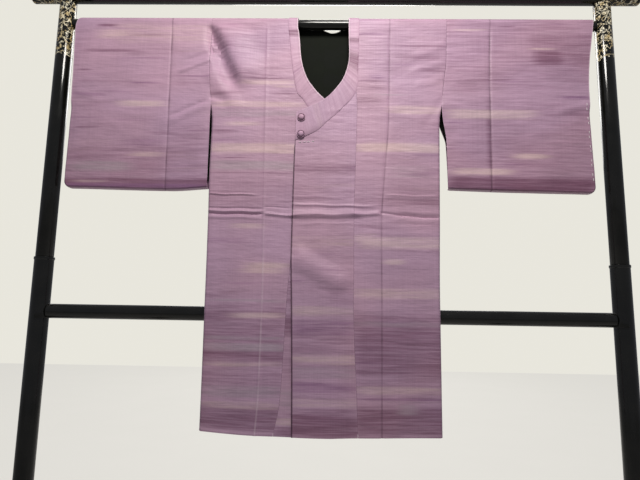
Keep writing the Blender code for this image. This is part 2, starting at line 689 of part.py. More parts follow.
def coat_pieces(collection):
    mauve = principled("mauve_silk", (0.42, 0.24, 0.40), 0.55)
    band = principled("band_silk", (0.50, 0.32, 0.46), 0.55)
    dark = principled("dark_lining", (0.012, 0.015, 0.011), 0.45)
    cover = principled("button_silk", (0.36, 0.20, 0.36), 0.45)
    body_piece("body_right", BODY_RIGHT_EDGES, CREASE_BODY_RIGHT, 0.0010, mauve, collection)
    body_piece("body_left", BODY_LEFT_EDGES, CREASE_BODY_LEFT, -0.0008, mauve, collection)
    overlap_piece("overlap_left", BAND_LEFT[3:], BODY_LEFT_EDGES, -0.0857, -0.0753, OVERLAP_LEVEL,
                  mauve, collection)
    overlap_piece("overlap_right", BAND_RIGHT[5:], BODY_RIGHT_EDGES, 0.048, 0.048, 0.0,
                  mauve, collection)
    left_band = band_rows(BAND_LEFT, NECK_INNER_LEFT, NECK_OUTER_LEFT)
    right_band = band_rows(BAND_RIGHT, NECK_INNER_RIGHT, NECK_OUTER_RIGHT)
    band_piece("collar_left", left_band, band, collection)
    band_piece("collar_right", right_band, band, collection)
    back_band_piece("collar_back", band, collection)
    sleeve_piece("sleeve_right", SLEEVE_RIGHT_EDGES, SLEEVE_RIGHT_HEM, CREASE_SLEEVE_RIGHT, -0.0008,
                 mauve, collection)
    sleeve_piece("sleeve_left", SLEEVE_LEFT_EDGES, SLEEVE_LEFT_HEM, CREASE_SLEEVE_LEFT, -0.0008,
                 mauve, collection)
    lining_body_piece("lining_body_right", BODY_RIGHT_EDGES, dark, collection)
    lining_body_piece("lining_body_left", BODY_LEFT_EDGES, dark, collection)
    lining_sleeve_piece("lining_sleeve_right", SLEEVE_RIGHT_EDGES, dark, collection)
    lining_sleeve_piece("lining_sleeve_left", SLEEVE_LEFT_EDGES, dark, collection)
    button("button_upper", BUTTON_UPPER_DROP, cover, collection)
    button("button_lower", BUTTON_LOWER_DROP, cover, collection)


def stand_pieces(collection):
    black = principled("black_lacquered_tube", (0.012, 0.012, 0.012), 0.25)
    beam_z = COAT_TOP_Z + BEAM_ABOVE_COAT + BEAM_R
    rod_half = POST_X - POST_UPPER_R - GAP
    rail_half = POST_X - POST_LOWER_R - GAP
    post("right", -POST_X, black, collection)
    post("left", POST_X, black, collection)
    foot("foot_right", -POST_X, black, collection)
    foot("foot_left", POST_X, black, collection)
    tube("beam", (-BEAM_HALF_LENGTH, 0.0, beam_z), (BEAM_HALF_LENGTH, 0.0, beam_z), BEAM_R,
         black, collection)
    tube("sleeve_rod", (-rod_half, 0.0, ROD_Z), (rod_half, 0.0, ROD_Z), ROD_R, black, collection)
    tube("middle_rail", (-rail_half, 0.0, RAIL_Z), (rail_half, 0.0, RAIL_Z), RAIL_R, black, collection)


def main():
    clear_scene()
    collection = new_collection("michiyuki_coat_on_stand")
    coat_pieces(collection)
    stand_pieces(collection)


main()
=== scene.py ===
"""Looks of the michiyuki coat on its kimono stand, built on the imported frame.

Metres, +Z up. Right and left in names are the wearer's, so right is at -X and the fronts face -Y.
Cloth is laid out by its x and by its path: the distance along the cloth from the ridge over the
rod, less than 0 down the front and more than 0 down the back.
"""

import math
from collections import namedtuple

import bmesh
import bpy
import numpy as np
from mathutils import Matrix, Vector


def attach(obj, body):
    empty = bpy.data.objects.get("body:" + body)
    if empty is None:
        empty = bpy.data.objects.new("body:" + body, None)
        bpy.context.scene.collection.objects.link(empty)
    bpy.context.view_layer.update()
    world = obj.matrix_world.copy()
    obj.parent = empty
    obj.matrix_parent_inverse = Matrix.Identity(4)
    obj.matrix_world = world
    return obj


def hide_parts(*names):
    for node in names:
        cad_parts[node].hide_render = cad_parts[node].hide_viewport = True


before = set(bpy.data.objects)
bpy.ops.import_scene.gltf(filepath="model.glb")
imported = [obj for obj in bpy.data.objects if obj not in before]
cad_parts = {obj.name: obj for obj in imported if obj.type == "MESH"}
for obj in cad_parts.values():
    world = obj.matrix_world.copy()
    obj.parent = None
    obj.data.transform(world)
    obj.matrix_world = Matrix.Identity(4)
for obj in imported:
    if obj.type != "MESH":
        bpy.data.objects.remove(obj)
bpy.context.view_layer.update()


def table(kind, *rows):
    """Named rows of a table in millimetres, their lengths brought to metres."""
    plain = ("sharp", "lee", "tone", "strength")
    return [
        kind(*(value if name in plain else value / 1000 for name, value in zip(kind._fields, row)))
        for row in rows
    ]


# Stand
POST_X = 0.688
POST_LOWER_R = 0.0215
POST_UPPER_R = 0.0200
SOCKET_LIP_R = 0.0227
SOCKET_LIP_LENGTH = 0.006
SOCKET_TOP_Z = 0.997
BEAM_R = 0.0190
BEAM_HALF_LENGTH = 0.785
BEAM_ABOVE_COAT = 0.044
ROD_R = 0.0125
RAIL_R = 0.0170
RAIL_Z = 0.868
FOOT_WIDTH = 0.052
FOOT_LENGTH = 0.480
FOOT_HEIGHT = 0.030
GAP = 0.0003

# Cloth: how it lies over the rod, and how thick each wall is
COAT_TOP_Z = 1.620
OVER_ROD_R = 0.0157
ROD_Z = COAT_TOP_Z - OVER_ROD_R
ARCH_HALF = math.pi / 2 * OVER_ROD_R
CENTRE_X = -0.0207
SEAM_HALF_GAP = 0.0005
SILK_WALL = 0.0009
BAND_WALL = 0.0006
LINING_WALL = 0.0006

# Fronts and the neck band's lap
UNDER_BAND = 0.0025
STRAIGHT_BELOW_BAND = 0.02
OVERLAP_LEVEL = 0.0024
EDGE_LIFT = 0.0012
TURNED_EDGE = 0.006
EDGE_COLUMNS = 0.006
FREE_EDGE_COLUMNS = np.array([0.0010, 0.0020, 0.0030, 0.0042, 0.0056, 0.0075])

# Linings
LINING_LEVEL = -0.0019
LINING_SLACK = 0.0012
LINING_EDGE = 0.003
LINING_LAP = 0.0012
LINING_LAP_WIDTH = 0.012
LINING_BEHIND = 0.0009
LINING_CLEARANCE = 1.2
LINING_LOWEST = 0.975
SLEEVE_LINING_LOWEST = 0.430

# Openings, lowest rows, and how round the sewn edges are
ARMHOLE_DROP = 0.240
CUFF_DROP = 0.230
SIDE_ROUND = 0.008
SLEEVE_ROUND = 0.006
SLEEVE_CORNER_R = 0.018
LOWEST_ROW = 1.018
SLEEVE_LOWEST_ROW = 0.440
HEM_BLEND_FROM = 0.935
SLEEVE_BLEND_FROM = 0.400
RELIEF_DROP = 0.060

# From where to where a seam, an opening or a lap begins or ends
CUFF_CLOSED = (CUFF_DROP, 0.270)
SIDE_CLOSED = (ARMHOLE_DROP, 0.300)
SEAM_STARTS = (0.02, 0.06)
SLEEVE_SEAM_ENDS = (0.23, 0.25)
FRONT_SEAM_RIGHT = (0.25, 0.30)
FRONT_SEAM_LEFT = (0.20, 0.25)
BACK_SEAM = (0.0695, 0.080)
BAND_LEAVES_RIGHT = (0.20, 0.22)
BAND_LEAVES_LEFT = (0.195, 0.205)
LAP_RISES_X = (-0.190, -0.085)
LAP_RISES_DROP = (0.10, 0.20)
EDGE_LIFTS = (0.33, 0.40)
LINING_CUFF_CLOSED = (CUFF_DROP - 0.04, 0.260)
LINING_SIDE_CLOSED = (ARMHOLE_DROP - 0.04, 0.280)
LINING_SLIT = (ARMHOLE_DROP, 0.270)

# Each ridge's height, distance from the edge and half width
HEM_RIDGE = (0.0006, 0.004, 0.006)
SLEEVE_RIDGE = (0.0005, 0.012, 0.005)

# How far the rows and columns of the cloth lie apart, and where they lie closer
FRONT_STEP = 0.0028
BACK_STEP = 0.0045
ARCH_STEP = 0.0021
CREASED_FROM = 0.460
CREASED_TO = 0.540
CREASED_STEP = 0.0011
BACK_CREASED_STEP = 0.0022
HEM_ROWS = 0.006
HEM_STEP = 0.001
COLUMN_STEP = 0.0075
SEAM_SHARE = 0.33
CREASE_SHARE = 0.10
ROUND_SHARE = 0.125
NECK_SHARE = 0.07
TOP_SHARE = 0.06
LINING_STEP = 0.010
LINING_ARCH_STEP = 0.0035
LINING_COLUMN_SHARE = 0.025

# Curves of the neck on the back: outer and inner edges of the band
NeckCurve = namedtuple("NeckCurve", "lowest_x half reach narrowing fall")
NECK_START = ARCH_HALF + 3 * GAP
NECK_OUTER_RIGHT = NeckCurve(CENTRE_X, -0.0895, 0.0695, 1.6, 1.3)
NECK_OUTER_LEFT = NeckCurve(CENTRE_X, 0.0895, 0.0695, 1.6, 1.3)
NECK_INNER_RIGHT = NeckCurve(-0.002, -0.0840, 0.0387, 1.0, 1.2)
NECK_INNER_LEFT = NeckCurve(-0.002, 0.0445, 0.0387, 2.35, 1.2)

# Depth of the hanging cloth in front of and behind its middle, and how far the middle leans
Hang = namedtuple("Hang", "drop depth lean")
BODY_HANG = [
    Hang(OVER_ROD_R, OVER_ROD_R, 0.0),
    Hang(0.240, 0.0155, 0.008),
    Hang(0.500, 0.0140, 0.022),
    Hang(0.755, 0.0140, 0.036),
    Hang(1.020, 0.0150, 0.038),
]
SLEEVE_HANG = [
    Hang(OVER_ROD_R, OVER_ROD_R, 0.0),
    Hang(0.240, 0.0155, 0.008),
    Hang(0.330, 0.0140, 0.009),
    Hang(0.460, 0.0120, 0.010),
]

# x of the pieces' edges down from the ridge over the rod
BodyEdge = namedtuple("BodyEdge", "drop inner outer")
BODY_RIGHT_EDGES = table(
    BodyEdge,
    (0, -110.7, -305.5), (30, -110, -306), (60, -106.7, -306.8), (131, -98.7, -305),
    (203, -85.7, -300), (226, -69, -297), (240, -59.8, -295.5), (247, -55.2, -294.5),
    (275, -57.7, -293.5), (320, -61.6, -293), (390, -67.7, -292.5), (520, -79, -288.5),
    (700, -93.3, -283.8), (940, -104.2, -281.2), (1020, -117.5, -280.8),
)
BODY_LEFT_EDGES = table(
    BodyEdge,
    (0, 69.3, 290.2), (30, 69.3, 288.5), (60, 68.7, 287.3), (131, 67.3, 284), (167, 65.1, 279),
    (203, 62.9, 274.5), (226, 63.6, 272.2), (240, 64.3, 270.7), (247, 64.6, 269.7),
    (275, 64.1, 267.2), (320, 63, 266), (390, 61.3, 264.3), (520, 58.1, 261), (718, 57.6, 255.2),
    (940, 66.1, 254.5), (1020, 68.8, 254.4),
)
SleeveEdge = namedtuple("SleeveEdge", "drop inner inner_back outer")
SLEEVE_RIGHT_EDGES = table(
    SleeveEdge,
    (0, -305.9, -305.9, -640), (6, -306, -306, -648), (16, -306.1, -306.1, -653),
    (30, -306.4, -306.4, -655), (60, -307.2, -307.2, -654.2), (131, -305.4, -305.4, -650.2),
    (203, -300.4, -300.4, -647), (240, -295.9, -295.9, -645.8), (275, -296.8, -295.5, -647),
    (440, -296.5, -295, -648.2),
)
SLEEVE_LEFT_EDGES = table(
    SleeveEdge,
    (0, 290.6, 290.6, 658.2), (30, 288.9, 288.9, 653), (60, 287.7, 287.7, 648),
    (131, 284.4, 284.4, 636.5), (167, 279.4, 279.4, 633), (203, 274.9, 274.9, 631),
    (240, 271.1, 271.1, 630.8), (275, 273.5, 270.6, 631.6), (330, 281.3, 285, 633),
    (440, 283.5, 288.5, 635.5),
)
Hem = namedtuple("Hem", "x drop")
BODY_HEM = table(
    Hem, (-284, 1004.5), (-140, 1013.5), (0, 1015.3), (69, 1012.5), (254, 1010),
)
SLEEVE_RIGHT_HEM = table(
    Hem, (-650, 454.5), (-389, 458.5), (-296, 452),
)
SLEEVE_LEFT_HEM = table(
    Hem, (283, 449), (457, 453.5), (636, 455.5),
)

BandRow = namedtuple("BandRow", "inner_x inner_drop outer_x outer_drop level")
BAND_LEFT = table(
    BandRow,
    (42.5, 30, 69, 30, 1), (43, 60, 68.4, 60, 1), (43.3, 120, 67, 131, 1.4),
    (31.5, 166, 62.6, 203, 2.6), (11.8, 198, 28.4, 249, 3.4), (-14.7, 225, -5.8, 282, 3.4),
    (-54.8, 247, -36.1, 310, 3.4), (-84.1, 260, -85, 333, 3.4),
)
BAND_RIGHT = table(
    BandRow,
    (-86, 30, -109.7, 30, 1), (-81, 60, -106.4, 60, 1), (-74.7, 121, -98.4, 131, 1),
    (-60.8, 167, -85.4, 203, 0.9), (-38.2, 201, -68.7, 226, 0.6), (-14.7, 225, -54.9, 247, 0.2),
    (11.8, 245, -25, 277, 0), (40, 260, 6, 305, 0), (54, 268, 48, 333, 0),
)
BAND_EDGE_SHARE = 0.10
BAND_SWELL = 0.0007
BAND_LEVEL = BAND_RIGHT[0].level
BAND_END_LEVEL = BAND_LEFT[-1].level

# Creases of the coat as it was folded for storage
CreaseLine = namedtuple("CreaseLine", "drop x")
# Each crease carries a painted line in its last field: a painted highlight along a ridge above 0,
# painted shade in a valley under 0
Crease = namedtuple("Crease", "line height ink")
CREASE_BODY_RIGHT = Crease(table(
    CreaseLine,
    (0, -163), (230, -160), (480, -155), (720, -150), (930, -152), (1020, -157),
), height=0.0014, ink=0.34)
CREASE_BODY_LEFT = Crease(table(
    CreaseLine,
    (0, 146.5), (280, 141), (420, 130), (540, 122), (1020, 120.5),
), height=-0.0014, ink=-0.50)
CREASE_SLEEVE_RIGHT = Crease(table(
    CreaseLine,
    (0, -406.5), (230, -401), (460, -398),
), height=-0.0014, ink=-0.60)
CREASE_SLEEVE_LEFT = Crease(table(
    CreaseLine,
    (0, 398.5), (200, 390), (460, 386.5),
), height=-0.0020, ink=-0.65)
CREASE_HALF = 0.007
CREASE_WIDTH = 0.0017

# Free edges of the two front panels
TOP_FREE_EDGE = table(
    CreaseLine,
    (333, -86.6), (420, -87.4), (600, -87.8), (717, -84.1), (835, -80.5), (935, -78), (1018, -76.5),
)
UNDER_FREE_EDGE = table(
    CreaseLine,
    (333, 48), (1018, 48),
)

# Fine lines along edges, light above 0 and dark under 0, most of them painted light: their
# strength, width and place
# Painted highlights where the hem and the cuff edge roll under, partly the lighter rolled edge
# itself
BOTTOM_RIM = 0.55
CUFF_RIM = 0.45
RIM_MOST = 0.6
# Painted shadow along the top front's free edge, where it lies over the under front
FREE_EDGE_SHADOW = -0.95
FREE_EDGE_WIDTH = 0.0026
# Painted highlight along the band's inner edge, partly its own lighter edge; a dark line marks its
# stitches
BAND_RIM = 0.75
BAND_RIM_SHOWN = (-0.245, -0.215)
BAND_STITCH_INK = 0.20
BAND_STITCH_IN = 0.0038
BAND_STITCH_WIDTH = 0.0010
# Painted shadow along the end of the lapped band, and painted shade along its lower edge over
# LAPPED_SHADE
LAPPED_SHADOW = 0.85
LAPPED_END = (0.11, 0.03)
LAPPED_SHADE = 0.020

# Soft ridges (height over 0) and troughs (under 0), each along a line that bows by `bow`; `lee` is
# how many times wider a fold is above its line than below
Fold = namedtuple("Fold", "x drop end_x end_drop bow height half sharp lee", defaults=[1.0])

# Where along a fold it begins and ends, and how far it strays from its line
FOLD_START = (-0.06, 0.14)
FOLD_END = (0.80, 1.06)
FOLD_WANDER = 0.0008

# Folds that drag down from the right armhole, over the body alone
DRAG_FOLDS = table(
    Fold,
    (-297.5, 0.2, -207, 190, -1, 11.6, 27.5, 0, 2.6), (-325.5, 15, -239, 206, -1, -11.2, 27.5, 0),
    (-312, 150, -224, 262, -3, 3.6, 26, 0, 1.3),
)
DRAG_FROM_X = -0.328
DRAG_TO_X = -0.301
DRAG_DROP = 0.042

FRONT_FOLDS = table(
    Fold,
    # Small folds at the armholes
    (-306, 74, -285, 110, 1, 3, 5.5, 0.5), (-305, 92, -272, 117, 2, -2.6, 5.5, 0.5),
    (-306, 221, -256, 229, 1, -3.4, 8, 0.3, 3.2), (288, 70, 190, 116, 4, 1.4, 16, 0),
    (284, 120, 195, 150, 3, 1.3, 14, 0), (280, 165, 205, 188, 3, 1.4, 14, 0),
    (275, 215, 225, 300, 2, -1.2, 12, 0),
    # Storage creases across, right body
    (-292, 469, -165, 470.5, 1, 2.4, 4.4, 0.7), (-296, 504, -150, 504.7, 0, -1.8, 4.4, 0.5),
    (-298, 510.5, -148, 511.2, 1, 2.2, 4.4, 0.4), (-298, 517.2, -148, 517.7, 1, -3, 4.2, 0.7),
    (-296, 526.2, -150, 526.8, 0, 1.4, 7, 0.3), (-157, 501, -92, 501.8, 0, -1.4, 4, 0.5),
    (-157, 517, -70, 521, 1, 3.4, 7, 0.5), (-280, 585, -215, 590, 1, 0.7, 5, 0.6),
    # Top front panel
    (-92, 474.5, 50, 475.5, 0, 0.9, 6, 0.3), (-92, 493, 112, 496.5, 1, 1.8, 5.5, 0.4),
    (-92, 517.5, 82, 516, 1, 5.2, 12, 0.3, 1.4), (-88, 540, 66, 540, -1, 0.8, 6, 0.5),
    # Left body, where the lines draw together at the crease and part again
    (50, 515, 123, 513.5, 1, 3, 9, 0.3), (118, 510.5, 168, 519.3, 0, -2.4, 6, 0.6),
    (160, 518.5, 268, 523, 0, -3.6, 5, 0.7, 2.4), (150, 526.5, 266, 531.5, 1, 1.2, 9, 0.2),
    (130, 468, 260, 470, 1, 2.2, 14, 0.5, 0.3),
    # Slack of the lap below the neck
    (-84, 612, 48, 686, 3, 6.2, 36, 0), (-20, 262, 60, 246, 2, 1.8, 7, 0.5),
    (150, 596, 250, 601, 1, 0.8, 5, 0.6), (70, 556, 250, 560, 3, 0.9, 8, 0.4),
    # Sleeves
    (-303, 98, -372, 126, 2, -1.8, 9, 0.2), (-303, 120, -385, 158, 2, 3.2, 7, 0.4, 2),
    (-300, 225, -400, 271, 2, -2.4, 7, 0.5), (-300, 240, -405, 289, 2, 2.2, 13, 0.3),
    (-312, 20, -372, 38, 1, -1.2, 7, 0.3), (-640, 205, -560, 236, 2, 1, 14, 0),
    (-650, 420, -560, 300, 4, 1, 20, 0), (282, 226, 360, 262, 2, 1, 12, 0.2),
    (628, 232, 540, 256, 2, 1.4, 14, 0), (620, 400, 530, 320, -4, 1, 20, 0),
)
BACK_FOLDS = table(
    Fold,
    (-300, 110, -200, 190, 4, 2.2, 20, 0), (-298, 165, -210, 228, 3, 1.6, 18, 0),
    (280, 100, 190, 176, 4, 2, 20, 0), (276, 160, 196, 214, 3, 1.8, 18, 0),
    (-286, 470, -160, 468, 1, 1.3, 6, 0.7), (-290, 503, -22, 505, 1, -0.6, 6, 0.5),
    (-292, 511, -24, 512, 2, 3, 9, 0.3), (-288, 521, -22, 523, 1, -0.6, 5, 0.7),
    (-18, 505, 260, 507, 2, 2.8, 9, 0.3), (-18, 516, 258, 519, 1, -0.6, 5, 0.6),
    (120, 466, 256, 470, 1, 1.3, 6, 0.7), (-400, 240, -305, 225, 2, 1.2, 12, 0.2),
    (290, 228, 372, 250, 2, 1.2, 12, 0.2), (-640, 330, -560, 300, 4, 1, 20, 0),
    (615, 340, 530, 310, 4, 1, 20, 0),
)

# Streaks dyed into the weft: their ends, depth below the ridge, height, tone and the share of
# the yarns that carry the tone
# Broad dark rows among them paint shade: across the storage creases near 465 mm, and deepening down
# the body and the sleeves towards the hem
DARK, BEIGE, GREY, VIOLET = range(4)
Streak = namedtuple("Streak", "x end_x drop height tone strength")
STREAKS_RIGHT_SLEEVE = table(
    Streak,
    (-600, -545, 28, 7, DARK, 0.8), (-600, -505, 52, 26, BEIGE, 0.6),
    (-520, -410, 55, 6, DARK, 0.7), (-645, -475, 98, 10, DARK, 0.6),
    # Painted shade: the broad dark rows at 400 and 443 mm, towards the bottom of the sleeve
    (-645, -600, 151, 4, DARK, 0.8), (-700, -290, 400, 110, DARK, 0.4),
    (-720, -260, 443, 32, DARK, 0.75), (-780, -610, 225, 470, DARK, 0.3),
    (-560, -290, 50, 60, BEIGE, 0.42), (-510, -425, 185, 4, VIOLET, 0.8),
    (-650, -500, 250, 52, DARK, 0.26), (-530, -405, 241, 18, BEIGE, 0.84),
    (-640, -555, 302, 4, DARK, 0.8), (-515, -402, 340, 22, VIOLET, 0.45),
    (-495, -402, 370, 13, BEIGE, 0.72), (-640, -480, 401, 28, GREY, 0.7),
    (-630, -530, 439, 8, BEIGE, 0.6), (-660, -290, 449, 12, VIOLET, 0.8),
    (-400, -300, 65, 90, BEIGE, 0.3), (-405, -300, 178, 38, DARK, 0.35),
    (-400, -290, 322, 62, DARK, 0.38), (-400, -290, 390, 60, BEIGE, 0.24),
    (-400, -290, 436, 30, DARK, 0.5),
)
STREAKS_LEFT_SLEEVE = table(
    Streak,
    (297, 392, 26, 4, DARK, 0.6), (240, 740, 340, 260, DARK, 0.36), (240, 740, 80, 260, DARK, 0.4),
    (377.5, 393, 335, 230, DARK, 0.62), (470, 740, 90, 100, DARK, 0.56),
    (545, 720, 255, 30, DARK, 0.5), (297, 392, 37, 6, BEIGE, 0.72), (297, 392, 44, 4, DARK, 0.5),
    (412, 468, 27, 6, DARK, 0.7), (560, 680, 53, 17, DARK, 0.45), (485, 560, 88, 7, BEIGE, 0.84),
    (415, 600, 114, 36, DARK, 0.42), (488, 590, 112, 46, DARK, 0.8), (552, 680, 107, 60, DARK, 0.5),
    (293, 465, 172, 5, DARK, 0.6), (280, 382, 186, 54, DARK, 0.45), (555, 640, 217, 8, VIOLET, 0.8),
    (280, 505, 261, 26, BEIGE, 0.72), (438, 525, 367, 15, BEIGE, 0.84),
    # Painted shade: the broad dark row at 436 mm along the bottom of the sleeve
    (285, 440, 405, 17, BEIGE, 0.84), (270, 650, 436, 40, DARK, 0.85),
)
STREAKS_RIGHT_BODY = table(
    Streak,
    (-350, -30, 50, 110, DARK, 0.32), (-270, -170, 54, 3, DARK, 0.6),
    (-260, -165, 71, 4, DARK, 0.6), (-265, -175, 91, 3, DARK, 0.6), (-185, -90, 144, 6, DARK, 0.6),
    (-228, -80, 171, 5, DARK, 0.7), (-228, -80, 182, 14, BEIGE, 0.7),
    (-145, -80, 193, 6, BEIGE, 0.72), (-160, -80, 212, 5, DARK, 0.6),
    (-300, -60, 240, 18, BEIGE, 0.66), (-300, -50, 264, 24, GREY, 0.5),
    (-266, -170, 291, 13, BEIGE, 0.78), (-300, -222, 311, 13, DARK, 0.6),
    (-300, -60, 355, 28, BEIGE, 0.78), (-268, -195, 379, 3, DARK, 0.7),
    (-300, -60, 398, 24, GREY, 0.75), (-300, -70, 417, 4, DARK, 0.6),
    # Painted shade: the broad dark row at 465 mm across the storage creases, and the broad dark
    # rows from 800 mm down to the hem
    (-320, -60, 465, 70, DARK, 0.3), (-235, -150, 547, 12, BEIGE, 0.72),
    (-200, -85, 646, 30, BEIGE, 0.72), (-320, -70, 800, 150, DARK, 0.5),
    (-320, -70, 838, 34, DARK, 0.66), (-320, -70, 905, 60, DARK, 0.42),
    (-275, -85, 720, 10, GREY, 0.6), (-222, -90, 754, 14, BEIGE, 0.72),
    (-290, -85, 804, 10, GREY, 0.6), (-290, -85, 824, 20, GREY, 0.75),
    (-280, -85, 861, 12, BEIGE, 0.6), (-290, -85, 920, 28, GREY, 0.6),
    (-290, -90, 951, 20, BEIGE, 0.54), (-320, -80, 978, 64, DARK, 0.6),
)
STREAKS_UNDER_FRONT = table(
    Streak,
    # Painted shade: the broad dark row at 465 mm across the storage creases, and the broad dark
    # rows from 700 mm down to the hem
    (-130, 90, 465, 70, DARK, 0.3), (-130, 90, 700, 60, DARK, 0.45), (-130, 90, 775, 50, DARK, 0.6),
    (-130, 90, 860, 80, DARK, 0.35), (-130, 90, 935, 50, GREY, 0.5),
    (-130, 90, 985, 20, BEIGE, 0.6), (-130, 90, 1005, 24, DARK, 0.6),
)
STREAKS_TOP_FRONT = table(
    Streak,
    # Painted shade: the broad dark rows at 460 mm across the storage creases, at 835 mm and at the
    # hem
    (-120, 90, 405, 28, DARK, 0.5), (-120, 90, 460, 60, DARK, 0.3), (-60, 80, 448, 12, BEIGE, 0.36),
    (-100, 20, 590, 20, BEIGE, 0.36), (-20, 80, 700, 60, DARK, 0.35),
    (-120, 90, 835, 120, DARK, 0.4), (-110, 80, 583, 28, BEIGE, 0.42),
    (-100, 80, 742, 24, BEIGE, 0.6), (-100, 80, 778, 38, VIOLET, 0.5),
    (-100, 80, 848, 24, BEIGE, 0.6), (-100, 80, 876, 30, GREY, 0.5),
    (-100, 80, 908, 24, VIOLET, 0.6), (-100, 80, 940, 26, BEIGE, 0.48),
    (-100, 80, 962, 20, DARK, 0.5), (-120, 90, 990, 56, DARK, 0.7),
)
STREAKS_LEFT_BODY = table(
    Streak,
    (60, 130, 28, 3, VIOLET, 0.6), (20, 330, 80, 190, DARK, 0.33), (40, 150, 190, 30, DARK, 0.45),
    (142, 300, 82, 6, DARK, 0.7), (142, 300, 114, 22, DARK, 0.5), (60, 136, 120, 3, DARK, 0.6),
    (200, 300, 146, 14, DARK, 0.6), (90, 135, 166, 16, VIOLET, 0.6), (60, 134, 177, 4, DARK, 0.6),
    (105, 190, 213, 5, GREY, 0.6), (60, 134, 228, 22, DARK, 0.5), (134, 280, 253, 24, BEIGE, 0.72),
    (200, 300, 295, 46, DARK, 0.32), (55, 280, 350, 24, BEIGE, 0.9), (130, 222, 378, 3, DARK, 0.6),
    # Painted shade: the broad dark row at 465 mm across the storage creases, and those at 818 and
    # 980 mm towards the hem
    (125, 245, 410, 40, GREY, 0.4), (40, 290, 465, 70, DARK, 0.3), (40, 290, 485, 20, DARK, 0.5),
    (50, 118, 572, 22, BEIGE, 0.6), (122, 178, 628, 15, BEIGE, 0.72),
    (50, 280, 700, 26, BEIGE, 0.6), (50, 280, 768, 16, GREY, 0.5), (40, 290, 818, 150, DARK, 0.6),
    (40, 290, 900, 40, DARK, 0.35), (55, 290, 583, 30, BEIGE, 0.66), (55, 280, 912, 18, BEIGE, 0.6),
    (55, 280, 930, 5, VIOLET, 0.7), (150, 205, 952, 30, GREY, 0.6), (40, 290, 980, 70, DARK, 0.65),
)
STREAKS_RIGHT_BAND = table(
    Streak,
    (-1000, 1000, 47, 22, DARK, 0.7), (-1000, 1000, 175, 110, DARK, 0.25),
    (-1000, 1000, 150, 12, VIOLET, 0.4),
)
STREAKS_LEFT_BAND = table(
    Streak,
    (-1000, 1000, 67, 18, DARK, 0.7), (-1000, 1000, 85, 14, VIOLET, 0.3),
    (-1000, 1000, 122, 56, DARK, 0.7), (-1000, 1000, 190, 16, VIOLET, 0.3),
    (-1000, 1000, 268, 10, BEIGE, 0.48),
)

# Buttons: their steps up from the rim over the ring and down to the back are shares of height and
# radius
BUTTON_R = 0.0100
BUTTON_HEIGHT = 0.0075
BUTTON_X = -0.0715
BUTTON_UPPER_DROP = 0.275
BUTTON_LOWER_DROP = 0.318
BUTTON_SIDES = 48
BUTTON_RIM = 0.30
BUTTON_RING = [
    (0.08, 0.975), (0.05, 0.90), (-0.04, 0.83), (-0.05, 0.76), (0.05, 0.715), (0.13, 0.69),
    (0.16, 0.63), (0.15, 0.53), (0.10, 0.40), (0.05, 0.24), (0.02, 0.08),
]
BUTTON_UNDER = [(0.14, 0.975), (0.08, 0.90), (0.05, 0.60)]
GATHERS = 24
GATHER_DEPTH = 0.035

# Stitches
STITCH_R = 0.0008
STITCH_HALF = 0.0026
STITCH_IN = 0.0084
STITCH_STEP = 0.0175
STITCH_SIDES = 8
BASTING_END = 0.432
TACK_X = (-0.073, -0.0625, -0.053, -0.042)
TACK_DROPS = (0.3385, 0.3378, 0.3372, 0.3362)

# How the stand's pieces are turned and rounded
EDGE_ANGLE = math.radians(38)
CORNER_ANGLE = math.radians(50)
ROUND_SIDES = 64
FLANGE_R = 0.0252
CAP_REACH = 0.005
SADDLE_R = 0.0240
SADDLE_HEIGHT = 0.034
SADDLE_OPEN = 0.002
PAD_HEIGHT = 0.004
PAD_R = 0.018
PAD_Y = 0.205
FOOT_FLAT_LENGTH = 0.300
FOOT_END_SHARE = 0.72
FOOT_CORNER_R = 0.018
FOOT_EDGE = 0.004
FOOT_MARGIN = 0.0001
LACQUER_EDGE = 0.0006
# Turned ends, in steps of a reach and a radius
FLANGE = [
    (0.0060, POST_LOWER_R + 0.0015), (0.0010, FLANGE_R - 0.0008), (0.0008, FLANGE_R),
    (0.0050, FLANGE_R), (0.0012, FLANGE_R - 0.0012),
]
SOCKET_LIP = [
    (0.0015, SOCKET_LIP_R), (SOCKET_LIP_LENGTH - 0.0014, SOCKET_LIP_R),
    (0.0009, SOCKET_LIP_R - 0.0003), (0.0005, SOCKET_LIP_R - 0.0011),
    (0.0, POST_UPPER_R + 0.0006), (-0.0012, POST_UPPER_R + 0.0004),
]
CAP_JOINT = [
    (0.0003, BEAM_R - 0.0006), (0.0006, BEAM_R - 0.0006), (0.0003, BEAM_R), (0.0040, BEAM_R),
]

# Tones of the dyed yarns, whose dark tone also serves the painted shade of the broad dark rows, and
# the painted highlights and shade laid over them
SILK_TONES = {
    "Base": (0.486, 0.303, 0.412),
    "Dark": (0.205, 0.090, 0.150),
    "Beige": (0.635, 0.450, 0.475),
    "Grey": (0.430, 0.322, 0.385),
    "Violet": (0.270, 0.132, 0.240),
}
SILK_SHEEN = (0.95, 0.78, 0.92)
WARMER = (1.015, 0.995, 0.985)
COOLER = (0.975, 0.99, 1.025)
# Colours of the fine lines: painted highlights on the light side; painted shade and shadow, and the
# band's stitch line, on the dark side
HIGHLIGHT_AND_EDGE_LIGHT = (0.80, 0.64, 0.72)
SHADE_AND_STITCH_DARK = (0.055, 0.018, 0.040)
WEAVE_TURNS = (7800, 9400)
LINING_TONES = ((0.005, 0.0062, 0.0045), (0.0105, 0.0122, 0.009))
COTTON_TONES = ((0.62, 0.55, 0.58), (0.80, 0.75, 0.76))

# Where the stand's scrolls begin, and the tones of its lacquer
SCROLL_FROM_Z = 1.512
SCROLL_FROM_X = POST_X + 0.014
LACQUER = (0.004, 0.0042, 0.0034)
DUST = (0.30, 0.28, 0.25)
CREAM = (0.92, 0.86, 0.66)
GOLD = (0.54, 0.41, 0.19)

